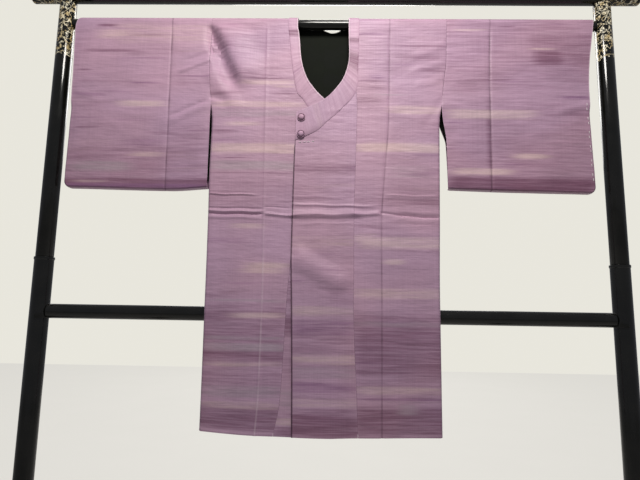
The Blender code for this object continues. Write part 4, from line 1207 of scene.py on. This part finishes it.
def upper_post(name, node, x, material):
    """The slimmer length, which stands in the socket and carries the beam."""
    cup, reach = softened(POST_UPPER_R)
    foot = [(0.0006, POST_UPPER_R - 0.0004)]
    top = COAT_TOP_Z + BEAM_ABOVE_COAT - GAP - reach
    bottom = SOCKET_TOP_Z + GAP + 0.0006
    post = turned(name, (x, 0, bottom), (x, 0, top), POST_UPPER_R, foot, cup)
    return finish_piece(post, node, material)


def dome(radius, reach, steps=6):
    """Steps that close a round end in a shallow dome."""
    angles = np.linspace(0.0, math.pi / 2 - 0.12, steps + 1)
    reaches = reach * np.sin(angles)
    return [(float(gone), float(radius * math.cos(angle)))
            for gone, angle in zip(np.diff(reaches), angles[1:])]


def beam_piece(name, node, material):
    """The top beam, each of its ends closed by a domed cap with a fine joint line."""
    z = COAT_TOP_Z + BEAM_ABOVE_COAT + BEAM_R
    cap = CAP_JOINT + dome(BEAM_R, CAP_REACH)
    half = BEAM_HALF_LENGTH - CAP_REACH - sum(reach for reach, radius in CAP_JOINT)
    beam = turned(name, (-half, 0, z), (half, 0, z), BEAM_R, cap, cap)
    return finish_piece(beam, node, material)


def rod_piece(name, node, material):
    ends, reach = softened(ROD_R)
    half = POST_X - POST_UPPER_R - 2 * GAP - reach
    rod = turned(name, (-half, 0, ROD_Z), (half, 0, ROD_Z), ROD_R, ends, ends)
    return finish_piece(rod, node, material)


def rail_saddle(x):
    """Half ring at an end of the rail, which hugs the inner side of its post."""
    towards = math.copysign(1, x)
    bpy.ops.object.select_all(action="DESELECT")
    bpy.ops.mesh.primitive_cylinder_add(vertices=ROUND_SIDES, radius=SADDLE_R, depth=SADDLE_HEIGHT,
                                        end_fill_type="NOTHING", location=(x, 0, RAIL_Z))
    saddle = bpy.context.active_object
    bpy.ops.object.mode_set(mode="EDIT")
    bpy.ops.mesh.select_all(action="SELECT")
    bpy.ops.mesh.bisect(plane_co=(x - towards * SADDLE_OPEN, 0, RAIL_Z), plane_no=(towards, 0, 0),
                        clear_outer=True)
    bpy.ops.object.mode_set(mode="OBJECT")
    wall = SADDLE_R - POST_LOWER_R - GAP
    apply_modifier(saddle, "SOLIDIFY", thickness=wall, offset=-1.0)
    round_off(saddle, LACQUER_EDGE)
    return saddle


def rail_piece(name, node, material):
    half = POST_X - SADDLE_R + 0.0008
    ends = [(0.0002, RAIL_R - 0.0006)]
    rail = turned(name, (-half, 0, RAIL_Z), (half, 0, RAIL_Z), RAIL_R, ends, ends)
    rail = join(rail, rail_saddle(-POST_X), rail_saddle(POST_X))
    return finish_piece(rail, node, material)


def foot_piece(name, node, x, material):
    """Bar foot with rounded ends that slope down a little, and a pad under each end."""
    height = FOOT_HEIGHT - PAD_HEIGHT
    bpy.ops.object.select_all(action="DESELECT")
    bpy.ops.mesh.primitive_cube_add(size=1.0, location=(x, 0, PAD_HEIGHT + height / 2))
    foot = bpy.context.active_object
    foot.name = name
    foot.dimensions = (FOOT_WIDTH, FOOT_FLAT_LENGTH, height)
    bpy.ops.object.transform_apply(location=False, rotation=False, scale=True)
    bpy.ops.object.mode_set(mode="EDIT")
    for towards in (-1, 1):
        pick_end(foot, Vector((0, towards, 0)))
        reach = (FOOT_LENGTH - FOOT_FLAT_LENGTH) / 2
        bpy.ops.mesh.extrude_region_move(TRANSFORM_OT_translate={"value": (0, towards * reach, 0)})
        bpy.ops.transform.resize(value=(1, 1, FOOT_END_SHARE),
                                 center_override=(x, towards * FOOT_LENGTH / 2, PAD_HEIGHT))
    bpy.ops.object.mode_set(mode="OBJECT")
    weights = foot.data.attributes.new("bevel_weight_edge", "FLOAT", "EDGE")
    for edge in foot.data.edges:
        one, other = (foot.data.vertices[number].co for number in edge.vertices)
        upright = (one - other).xy.length < FOOT_MARGIN
        if upright and abs(one.y) > FOOT_FLAT_LENGTH / 2 + FOOT_MARGIN:
            weights.data[edge.index].value = 1.0
    apply_modifier(foot, "BEVEL", width=FOOT_CORNER_R, segments=8, limit_method="WEIGHT")
    round_off(foot, FOOT_EDGE, 4)
    rim = [(0.0006, PAD_R - 0.0006)]
    pads = [
        turned("pad", (x, y, 0.0006), (x, y, PAD_HEIGHT + 0.0005), PAD_R, rim)
        for y in (-PAD_Y, PAD_Y)
    ]
    return finish_piece(join(foot, *pads), node, material)


def button_piece(name, node, drop, material):
    """Dome button: silk drawn over a form and gathered under its rim."""
    level = BAND_END_LEVEL + 2 * GAP
    seat = Vector(hung(np.array([BUTTON_X]), np.array([path_of(drop, -1)]), level)[0])
    front = Vector((0.0, -1.0, 0.0))
    rim_at = BUTTON_HEIGHT * BUTTON_RIM
    above, under = (
        [(BUTTON_HEIGHT * rise, BUTTON_R * share) for rise, share in steps]
        for steps in (BUTTON_RING, BUTTON_UNDER)
    )
    start = seat + front * (rim_at - BUTTON_HEIGHT * 0.02)
    button = turned(name, start, seat + front * rim_at, BUTTON_R, under, above, BUTTON_SIDES)
    bpy.ops.object.transform_apply(location=True, rotation=True, scale=True)
    for vertex in button.data.vertices:
        out = vertex.co - seat
        around = math.atan2(out.z, out.x)
        gather = GATHER_DEPTH * (1 - min(abs(-out.y - rim_at * 0.7) / (rim_at * 0.9), 1.0))
        share = 1 - gather * (0.5 + 0.5 * math.cos(GATHERS * around + 0.8 * math.sin(5 * around)))
        vertex.co = Vector((seat.x + out.x * share, vertex.co.y, seat.z + out.z * share))
    # Painted shade: dark under the rim and in the groove ring, a little darker at the outer rim
    lines = []
    for vertex in button.data.vertices:
        depth = (seat.y - vertex.co.y) / BUTTON_HEIGHT
        reach = math.hypot(vertex.co.x - seat.x, vertex.co.z - seat.z) / BUTTON_R
        deep = depth < 0.20 or (depth < 0.55 and abs(reach - 0.76) < 0.07)
        lines.append(-0.80 if deep else -0.25 if reach > 0.8 else 0.0)
    point_values(button.data, "streaks", "FLOAT_COLOR", np.zeros((len(lines), 4)))
    point_values(button.data, "lines", "FLOAT", lines)
    return finish_piece(button, node, material)


def stitches_piece(name, places, direction, material):
    """Short stitches of thread, one modelled and the rest copied from it."""
    reach = Vector(direction).normalized() * STITCH_HALF
    first_place = Vector(places[0])
    taper = [(0.0005, STITCH_R * 0.75), (0.0003, STITCH_R * 0.3)]
    first = turned(name, first_place - reach, first_place + reach, STITCH_R, taper, taper,
                   STITCH_SIDES)
    copies = []
    for place in places[1:]:
        copy = put_in_scene(name, first.data.copy())
        copy.matrix_world = first.matrix_world
        copy.location = first.location + Vector(place) - first_place
        copies.append(copy)
    return finish_piece(join(first, *copies), None, material)


def basting_places():
    """Where the basting lies, along the closed part of the left sleeve's outer edge."""
    drops = np.arange(CUFF_DROP + 0.002, BASTING_END, STITCH_STEP)
    drops = drops + 0.0030 * np.sin(900 * drops)
    edge = follow(SLEEVE_LEFT_EDGES, drops, "outer")
    x = edge - STITCH_IN + 0.0010 * np.sin(1700 * drops)
    fullness = 1 - smooth(drops, *CUFF_CLOSED) * (1 - roundness(STITCH_IN, SLEEVE_ROUND))
    return stitched_on(x, drops, 0.0, SLEEVE_HANG, fullness)


def tack_places():
    """A short row of tacks below the lapped end of the neck band."""
    return stitched_on(np.array(TACK_X), np.array(TACK_DROPS), OVERLAP_LEVEL, BODY_HANG, 1.0)


def stitched_on(x, drops, level, hang, fullness):
    height = relief(x, drops, -1.0) + STITCH_R * 0.6
    return hung(x, path_of(drops, -1), level, hang, fullness, height)


def fill(tree, node, inputs):
    """Links or sets inputs of a node."""
    for key, value in inputs.items():
        if isinstance(value, bpy.types.NodeSocket):
            tree.links.new(value, node.inputs[key])
        else:
            node.inputs[key].default_value = value


def add(tree, kind, inputs=None, **fields):
    """Adds a node, sets its fields, and fills its inputs."""
    made = tree.nodes.new("ShaderNode" + kind)
    for field, value in fields.items():
        setattr(made, field, value)
    fill(tree, made, inputs or {})
    return made


def new_material(name, inputs):
    material = bpy.data.materials.new(name)
    material.use_nodes = True
    shader = material.node_tree.nodes["Principled BSDF"]
    fill(material.node_tree, shader, inputs)
    return material, material.node_tree, shader


def math_of(tree, operation, *values, clamp=False):
    inputs = dict(enumerate(values))
    return add(tree, "Math", inputs, operation=operation, use_clamp=clamp).outputs["Value"]


def vector_of(tree, operation, vector, other):
    """A vector with another one, or with a number that scales it."""
    inputs = {0: vector, "Scale" if operation == "SCALE" else 1: other}
    return add(tree, "VectorMath", inputs, operation=operation).outputs["Vector"]


def stretched_noise(tree, place, scale, detail=1.0, low=0.3, high=0.7):
    """Noise stretched along the three axes of `place`, its usual range brought to 0 to 1."""
    moved = vector_of(tree, "MULTIPLY", place, scale)
    noise = add(tree, "TexNoise", {"Vector": moved, "Scale": 1.0, "Detail": detail})
    return spread_out(tree, noise.outputs["Fac"], low, high)


def spread_out(tree, value, low, high, to_low=0.0, to_high=1.0):
    spans = {"Value": value, "From Min": low, "From Max": high, "To Min": to_low, "To Max": to_high}
    return add(tree, "MapRange", spans, interpolation_type="SMOOTHSTEP").outputs["Result"]


def tinted(tree, share, under, over):
    """A colour laid over another one by a share; each is a socket or red, green and blue."""
    under, over = ((*tone, 1.0) if isinstance(tone, tuple) else tone for tone in (under, over))
    mix = add(tree, "Mix", {"Factor": share, "A": under, "B": over}, data_type="RGBA")
    return mix.outputs["Result"]


def new_group(name, inputs, outputs):
    """A node group with named sockets, its entry's outputs and its exit node."""
    group = bpy.data.node_groups.new(name, "ShaderNodeTree")
    for in_out, sockets in (("INPUT", inputs), ("OUTPUT", outputs)):
        for label, kind in sockets.items():
            group.interface.new_socket(label, in_out=in_out, socket_type="NodeSocket" + kind)
    entry = group.nodes.new("NodeGroupInput").outputs
    return group, entry, group.nodes.new("NodeGroupOutput")


def woven_streaks_group():
    """Slubbed silk whose weft yarns are dyed in streaks, so that a streak's ends are feathered; the
    broad dark streaks also carry painted shade.
    """
    group, entry, leave = new_group(
        "woven_streaks",
        {"Cloth": "Vector", "Streaks": "Color", "Violet Share": "Float", "Chance": "Float",
         "Ribs": "Float", **dict.fromkeys(SILK_TONES, "Color")},
        {"Color": "Color", "Roughness": "Float", "Height": "Float"},
    )
    cloth = entry["Cloth"]

    def noise(across, along, shift, *rest):
        return stretched_noise(group, cloth, (across, along, shift), *rest)

    def calc(*operation):
        return math_of(group, *operation)

    yarns = calc("MULTIPLY_ADD", noise(16, 560, 40, 1, 0.26, 0.74), 0.45,
                 noise(9, 215, 47, 2, 0.26, 0.74))
    held_back = calc("MAXIMUM", calc("MULTIPLY_ADD", yarns, 0.29, -0.080), 0.02)
    shares = add(group, "SeparateColor", {"Color": entry["Streaks"]}).outputs
    wide = noise(5, 50, 23, 2, 0.52, 0.74)
    thin = calc("MULTIPLY", noise(8, 170, 31, 1, 0.60, 0.76), 0.6)
    pale = calc("MULTIPLY", noise(4, 40, 57, 2, 0.52, 0.74), 0.5)
    dusk = noise(6, 60, 71, 1, 0.56, 0.76)
    colour = entry["Base"]
    for tone, share, by_chance in (
        ("Dark", shares["Red"], calc("MAXIMUM", wide, thin)),
        ("Beige", shares["Green"], pale),
        ("Grey", shares["Blue"], None),
        ("Violet", entry["Violet Share"], dusk),
    ):
        if by_chance:
            share = calc("MAXIMUM", share, calc("MULTIPLY", by_chance, entry["Chance"]))
        dyed_and_shaded = spread_out(group, calc("SUBTRACT", share, held_back), 0.0, 0.85)
        colour = tinted(group, dyed_and_shaded, colour, entry[tone])
    ply = noise(12, 260, 19, 2)
    ribs = calc("MULTIPLY_ADD", noise(34, 1350, 13), 0.55, calc("MULTIPLY", ply, 0.45))
    ribs = calc("MULTIPLY", calc("SUBTRACT", ribs, 0.5), entry["Ribs"])
    warp, cloud = noise(950, 5, 29), noise(7, 7, 5, 2)
    shade = calc("MULTIPLY_ADD", ribs, 0.19, 0.915)
    shade = calc("MULTIPLY_ADD", warp, 0.07, shade)
    shade = calc("MULTIPLY_ADD", cloud, 0.10, shade)
    hue = tinted(group, noise(4, 6, 83, 1, 0.35, 0.65), WARMER, COOLER)
    colour = vector_of(group, "SCALE", vector_of(group, "MULTIPLY", colour, hue), shade)
    turns = vector_of(group, "MULTIPLY", cloth, (*WEAVE_TURNS, 0))
    turns = add(group, "SeparateXYZ", {"Vector": turns}).outputs
    weave = calc("MULTIPLY", calc("SINE", turns["X"]), calc("SINE", turns["Y"]))
    fill(group, leave, {
        "Color": colour,
        "Roughness": spread_out(group, ply, 0, 1, 0.62, 0.48),
        "Height": calc("MULTIPLY_ADD", weave, 0.12, calc("MULTIPLY", ribs, 1.8)),
    })
    return group


def attribute(tree, name):
    return add(tree, "Attribute", attribute_name=name).outputs


def crinkles_group():
    """Faint dents of worn silk, drawn out along the weft."""
    group, entry, leave = new_group("crinkles", {"Cloth": "Vector"}, {"Height": "Float"})
    long = stretched_noise(group, entry["Cloth"], (11, 55, 9), 3)
    small = stretched_noise(group, entry["Cloth"], (60, 90, 9), 2)
    fill(group, leave, {"Height": math_of(group, "MULTIPLY_ADD", small, 0.35, long)})
    return group


def cloth_shader(name, roughness, sheen, tint, specular=0.35):
    return new_material(name, {
        "Roughness": roughness, "Sheen Weight": sheen, "Sheen Roughness": 0.4,
        "Sheen Tint": (*tint, 1.0), "Specular IOR Level": specular,
    })


def lay_bumps(tree, shader, *bumps):
    """Bumps laid over each other, each with its height, strength and distance."""
    below = {}
    for height, strength, distance in bumps:
        inputs = {"Height": height, "Strength": strength, "Distance": distance, **below}
        below = {"Normal": add(tree, "Bump", inputs).outputs["Normal"]}
    fill(tree, shader, below)


def streaked_silk(name, streaks_group, crinkles, chance, lighter=1.0, ribs=1.0, place=None):
    """The coat's silk; `place` lays the weave on a piece that has no cloth attribute."""
    material, tree, shader = cloth_shader(name, 0.55, 0.25, SILK_SHEEN)
    place = add(tree, "TexCoord").outputs[place] if place else attribute(tree, "cloth")["Vector"]
    streaks = attribute(tree, "streaks")
    tones = {
        tone: (*(share * lighter for share in colour), 1.0) for tone, colour in SILK_TONES.items()
    }
    woven = add(tree, "Group", node_tree=streaks_group)
    fill(tree, woven, {"Cloth": place, "Streaks": streaks["Color"], "Chance": chance,
                       "Violet Share": streaks["Alpha"], "Ribs": ribs, **tones})
    dents = add(tree, "Group", node_tree=crinkles)
    fill(tree, dents, {"Cloth": place})
    lay_bumps(tree, shader, (dents.outputs["Height"], 0.40, 0.0016),
              (woven.outputs["Height"], 0.20, 0.00025))
    # Painted light from the lines attribute: painted highlights above 0, painted shade and shadow
    # under 0
    lines = attribute(tree, "lines")["Fac"]
    dark = math_of(tree, "MULTIPLY", lines, -1.0, clamp=True)
    light = math_of(tree, "MAXIMUM", lines, 0.0)
    colour = tinted(tree, light, woven.outputs["Color"], HIGHLIGHT_AND_EDGE_LIGHT)
    colour = tinted(tree, dark, colour, SHADE_AND_STITCH_DARK)
    fill(tree, shader, {"Base Color": colour, "Roughness": woven.outputs["Roughness"]})
    return material


def lining_silk():
    """Dark smooth lining, a little green, with a fine twill and faint rubbed lines."""
    material, tree, shader = cloth_shader("dark_lining_silk", 0.75, 0.0, (0.5, 0.55, 0.5), 0.08)
    cloth = attribute(tree, "cloth")["Vector"]
    worn = stretched_noise(tree, cloth, (14, 22, 3), 3)
    ribs = stretched_noise(tree, cloth, (40, 1500, 3))
    fill(tree, shader, {
        "Base Color": tinted(tree, worn, *LINING_TONES),
        "Roughness": spread_out(tree, worn, 0.0, 1.0, 0.70, 0.85),
    })
    lay_bumps(tree, shader, (worn, 0.25, 0.001), (ribs, 0.2, 0.0002))
    return material


def cotton_thread():
    """Pale basting cotton of two plies twisted together."""
    material, tree, shader = new_material("basting_cotton", {"Roughness": 0.85})
    place = add(tree, "TexCoord").outputs["Object"]
    ply = stretched_noise(tree, place, (2600, 2600, 1500))
    fill(tree, shader, {"Base Color": tinted(tree, ply, *COTTON_TONES)})
    lay_bumps(tree, shader, (ply, 0.4, 0.0002))
    return material


def rubbed_lacquer_group():
    """Gloss lacquer on tube: faint brush swell, fine rubbed marks and a little settled dust."""
    group, entry, leave = new_group(
        "rubbed_lacquer", {"Place": "Vector", "Lacquer": "Color", "Dust": "Color"},
        {"Color": "Color", "Roughness": "Float", "Height": "Float"},
    )
    swell = stretched_noise(group, entry["Place"], (18, 18, 18), 2)
    marks = stretched_noise(group, entry["Place"], (420, 420, 90), 2, 0.62, 0.80)
    specks = stretched_noise(group, entry["Place"], (900, 900, 900), 1, 0.66, 0.80)
    dusty = math_of(group, "MULTIPLY", specks, 0.08)
    dusty = math_of(group, "MULTIPLY_ADD", swell, 0.012, dusty)
    rough = math_of(group, "MULTIPLY_ADD", swell, 0.06, 0.13)
    rough = math_of(group, "MULTIPLY_ADD", marks, 0.16, rough)
    fill(group, leave, {
        "Color": tinted(group, dusty, entry["Lacquer"], entry["Dust"]),
        "Roughness": math_of(group, "MULTIPLY_ADD", specks, 0.20, rough),
        "Height": math_of(group, "MULTIPLY_ADD", marks, -0.15, swell),
    })
    return group


def scrollwork_group():
    """Leaf scrolls in cream and gold: leaf blots in rows of cells, joined by winding stems."""
    group, entry, leave = new_group(
        "scrollwork", {"Place": "Vector"}, {"Share": "Float", "Gold": "Float"}
    )

    def texture(kind, place, output, scale, **inputs):
        return add(group, kind, {"Vector": place, "Scale": scale, **inputs}).outputs[output]

    wander = texture("TexNoise", entry["Place"], "Color", 85.0, Detail=1.0)
    bent = vector_of(group, "SCALE", vector_of(group, "SUBTRACT", wander, (0.5, 0.5, 0.5)), 0.012)
    place = vector_of(group, "ADD", entry["Place"], bent)
    leaves = texture("TexVoronoi", place, "Distance", 118.0, Randomness=0.8)
    petals = texture("TexVoronoi", place, "Distance", 260.0, Randomness=1.0)
    stems = texture("TexNoise", place, "Fac", 78.0, Detail=0.0)
    tint = texture("TexNoise", place, "Fac", 60.0, Detail=2.0)
    blots = spread_out(group, leaves, 0.38, 0.50, 1.0, 0.0)
    veins = spread_out(group, petals, 0.38, 0.60, 1.0, 0.15)
    off = math_of(group, "ABSOLUTE", math_of(group, "SUBTRACT", stems, 0.5))
    winding = spread_out(group, off, 0.018, 0.040, 1.0, 0.0)
    fill(group, leave, {
        "Share": math_of(group, "MAXIMUM", math_of(group, "MULTIPLY", blots, veins), winding),
        "Gold": spread_out(group, tint, 0.35, 0.65),
    })
    return group


def black_lacquer(name, lacquer_group, scroll_group=None, along="Z", scroll_from=0.0, leaves=0.01):
    """Black gloss lacquer; scrolls, where asked for, cover the part beyond `scroll_from`."""
    material, tree, shader = new_material(
        name, {"Specular IOR Level": 0.35, "Coat Weight": 0.15, "Coat Roughness": 0.08}
    )
    place = add(tree, "TexCoord").outputs["Object"]
    lacquer = add(tree, "Group", node_tree=lacquer_group)
    fill(tree, lacquer, {"Place": place, "Lacquer": (*LACQUER, 1.0), "Dust": (*DUST, 1.0)})
    colour, rough, height = lacquer.outputs
    if scroll_group:
        scroll = add(tree, "Group", node_tree=scroll_group)
        fill(tree, scroll, {"Place": place})
        far = add(tree, "SeparateXYZ", {"Vector": place}).outputs[along]
        reach = math_of(tree, "ABSOLUTE", far)
        tips = add(tree, "TexNoise", {"Vector": place, "Scale": 70.0, "Detail": 1.0}).outputs["Fac"]
        reach = math_of(tree, "MULTIPLY_ADD", tips, 2 * leaves, reach)
        edge = scroll_from + leaves
        beyond = spread_out(tree, reach, edge, edge + 0.001)
        share = math_of(tree, "MULTIPLY", scroll.outputs["Share"], beyond)
        colour = tinted(tree, share, colour, tinted(tree, scroll.outputs["Gold"], CREAM, GOLD))
        rough = math_of(tree, "MULTIPLY_ADD", share, 0.22, rough)
        height = math_of(tree, "MULTIPLY_ADD", share, 0.6, height)
    fill(tree, shader, {"Base Color": colour, "Roughness": rough})
    lay_bumps(tree, shader, (height, 0.25, 0.0002))
    return material


def camera():
    lens = bpy.data.cameras.new("camera")
    lens.sensor_width = SENSOR_MM
    lens.lens = FOCAL_LENGTH / PICTURE_WIDTH * SENSOR_MM
    level = math.cos(PITCH)
    forward = Vector((math.sin(YAW) * level, math.cos(YAW) * level, math.sin(PITCH)))
    right = forward.cross(Vector((0, 0, 1))).normalized()
    right = right * math.cos(ROLL) + right.cross(forward) * math.sin(ROLL)
    turn = Matrix((right, right.cross(forward), -forward)).transposed().to_4x4()
    eye = put_in_scene("camera", lens)
    eye.matrix_world = Matrix.Translation(EYE) @ turn
    bpy.context.scene.camera = eye


def soft_light(name, place, aim, size, power, colour):
    lamp = bpy.data.lights.new(name, "AREA")
    lamp.shape = "DISK"
    lamp.size = size
    lamp.energy = power
    lamp.color = colour
    light = put_in_scene(name, lamp)
    light.location = place
    light.rotation_euler = (Vector(aim) - Vector(place)).to_track_quat("-Z", "Y").to_euler()


def shown_as(tree, lit, shown, share, output):
    """Lets the camera see a plainer surface than the one that lights the coat."""
    seen = add(tree, "LightPath").outputs["Is Camera Ray"]
    if share < 1:
        seen = math_of(tree, "MULTIPLY", seen, share)
    mixed = add(tree, "MixShader", {0: seen, 1: lit.outputs[0], 2: shown.outputs[0]})
    fill(tree, tree.nodes[output], {"Surface": mixed.outputs[0]})


def pale_floor():
    material, tree, shader = new_material("pale_floor", {"Roughness": 0.8})
    speckle = stretched_noise(tree, add(tree, "TexCoord").outputs["Object"], (3, 3, 3), 4)
    fill(tree, shader, {"Base Color": tinted(tree, speckle, *FLOOR_TONES)})
    pale = add(tree, "Emission", {"Color": FLOOR_SHOWN, "Strength": 1.0})
    shown_as(tree, shader, pale, FLOOR_SHOWN_SHARE, "Material Output")
    return material


def studio():
    scene = bpy.context.scene
    scene.view_settings.view_transform = "Standard"
    scene.world = bpy.data.worlds.new("studio")
    scene.world.use_nodes = True
    tree = scene.world.node_tree
    around = tree.nodes["Background"]
    fill(tree, around, {"Color": ROOM_LIGHT, "Strength": ROOM_STRENGTH})
    wall = add(tree, "Background", {"Color": WALL_SHOWN, "Strength": WALL_STRENGTH})
    shown_as(tree, around, wall, 1, "World Output")
    for name, light in LIGHTS.items():
        soft_light(name, *light)
    mesh = bpy.data.meshes.new("floor")
    corners = [(x * FLOOR_HALF, y * FLOOR_HALF, 0) for x, y in ((-1, -1), (1, -1), (1, 1), (-1, 1))]
    mesh.from_pydata(corners, [], [(0, 1, 2, 3)])
    mesh.materials.append(pale_floor())
    put_in_scene("floor", mesh)


woven_streaks = woven_streaks_group()
crinkles = crinkles_group()
silk = Cloth(
    streaked_silk("mauve_silk_woven", woven_streaks, crinkles, chance=0.42), "mauve_silk"
)
# The band is cut from the lighter parts of the same silk
band_cloth = Cloth(
    streaked_silk("band_silk_woven", woven_streaks, crinkles, chance=0.06, lighter=1.04, ribs=0.4),
    "band_silk",
)
dark = Cloth(lining_silk(), "dark_lining")

# Each piece has a shift of its own, so that no two repeat the same noise
right_body = body_piece(
    "right_body", "body_right", BODY_RIGHT_EDGES, CREASE_BODY_RIGHT, silk, STREAKS_RIGHT_BODY,
    shift=0.1,
)
left_body = body_piece(
    "left_body", "body_left", BODY_LEFT_EDGES, CREASE_BODY_LEFT, silk, STREAKS_LEFT_BODY, shift=0.2
)
top_front = overlap_piece(
    "top_front", "overlap_left", BAND_LEFT[3:], BODY_LEFT_EDGES, TOP_FREE_EDGE, OVERLAP_LEVEL,
    silk, STREAKS_TOP_FRONT, shift=0.3,
)
under_front = overlap_piece(
    "under_front", "overlap_right", BAND_RIGHT[5:], BODY_RIGHT_EDGES, UNDER_FREE_EDGE, 0.0,
    silk, STREAKS_UNDER_FRONT, shift=0.4,
)
left_band = band_piece(
    "left_band", "collar_left", band_grid(BAND_LEFT, NECK_INNER_LEFT, NECK_OUTER_LEFT),
    band_cloth, STREAKS_LEFT_BAND, shift=0.5,
)
right_band = band_piece(
    "right_band", "collar_right", band_grid(BAND_RIGHT, NECK_INNER_RIGHT, NECK_OUTER_RIGHT),
    band_cloth, STREAKS_RIGHT_BAND, shift=0.6,
)
back_band = band_piece("back_band", "collar_back", back_band_grid(), band_cloth, [], shift=0.7)
right_sleeve = sleeve_piece(
    "right_sleeve", "sleeve_right", SLEEVE_RIGHT_EDGES, SLEEVE_RIGHT_HEM, CREASE_SLEEVE_RIGHT,
    silk, STREAKS_RIGHT_SLEEVE, shift=0.8,
)
left_sleeve = sleeve_piece(
    "left_sleeve", "sleeve_left", SLEEVE_LEFT_EDGES, SLEEVE_LEFT_HEM, CREASE_SLEEVE_LEFT,
    silk, STREAKS_LEFT_SLEEVE, shift=0.9,
)
right_lining, left_lining = (
    lining_body_piece(side + "_lining", "lining_body_" + side, edges, dark, shift)
    for side, edges, shift in (("right", BODY_RIGHT_EDGES, 1.0), ("left", BODY_LEFT_EDGES, 1.1))
)
right_sleeve_lining, left_sleeve_lining = (
    lining_sleeve_piece(side + "_sleeve_lining", "lining_sleeve_" + side, edges, dark, shift)
    for side, edges, shift in (("right", SLEEVE_RIGHT_EDGES, 1.2), ("left", SLEEVE_LEFT_EDGES, 1.3))
)

drawn_silk = streaked_silk(
    "button_silk_drawn", woven_streaks, crinkles, chance=0.0, lighter=1.08, ribs=0.3, place="Object"
)
button_piece("upper_button", "button_upper", BUTTON_UPPER_DROP, drawn_silk)
button_piece("lower_button", "button_lower", BUTTON_LOWER_DROP, drawn_silk)
cotton = cotton_thread()
sleeve_basting = stitches_piece("sleeve_basting", basting_places(), (0.0, 0.0, 1.0), cotton)
band_tacks = stitches_piece("band_tacks", tack_places(), (1.0, 0.0, 0.1), cotton)

rubbed = rubbed_lacquer_group()
scrolls = scrollwork_group()
lacquer = black_lacquer("black_lacquer_gloss", rubbed)
post_lacquer = black_lacquer("black_lacquer_scrolls_up", rubbed, scrolls, "Z", SCROLL_FROM_Z)
beam_lacquer = black_lacquer(
    "black_lacquer_scrolls_out", rubbed, scrolls, "X", SCROLL_FROM_X, leaves=0.004
)
for side, x in (("right", -POST_X), ("left", POST_X)):
    lower_post("lower_post_" + side, "post_lower_" + side, x, lacquer)
    upper_post("upper_post_" + side, "post_upper_" + side, x, post_lacquer)
    foot_piece("bar_foot_" + side, "foot_" + side, x, lacquer)
beam_piece("top_beam", "beam", beam_lacquer)
rod_piece("rod_in_sleeves", "sleeve_rod", lacquer)
rail_piece("rail_with_saddles", "middle_rail", lacquer)

studio()
camera()
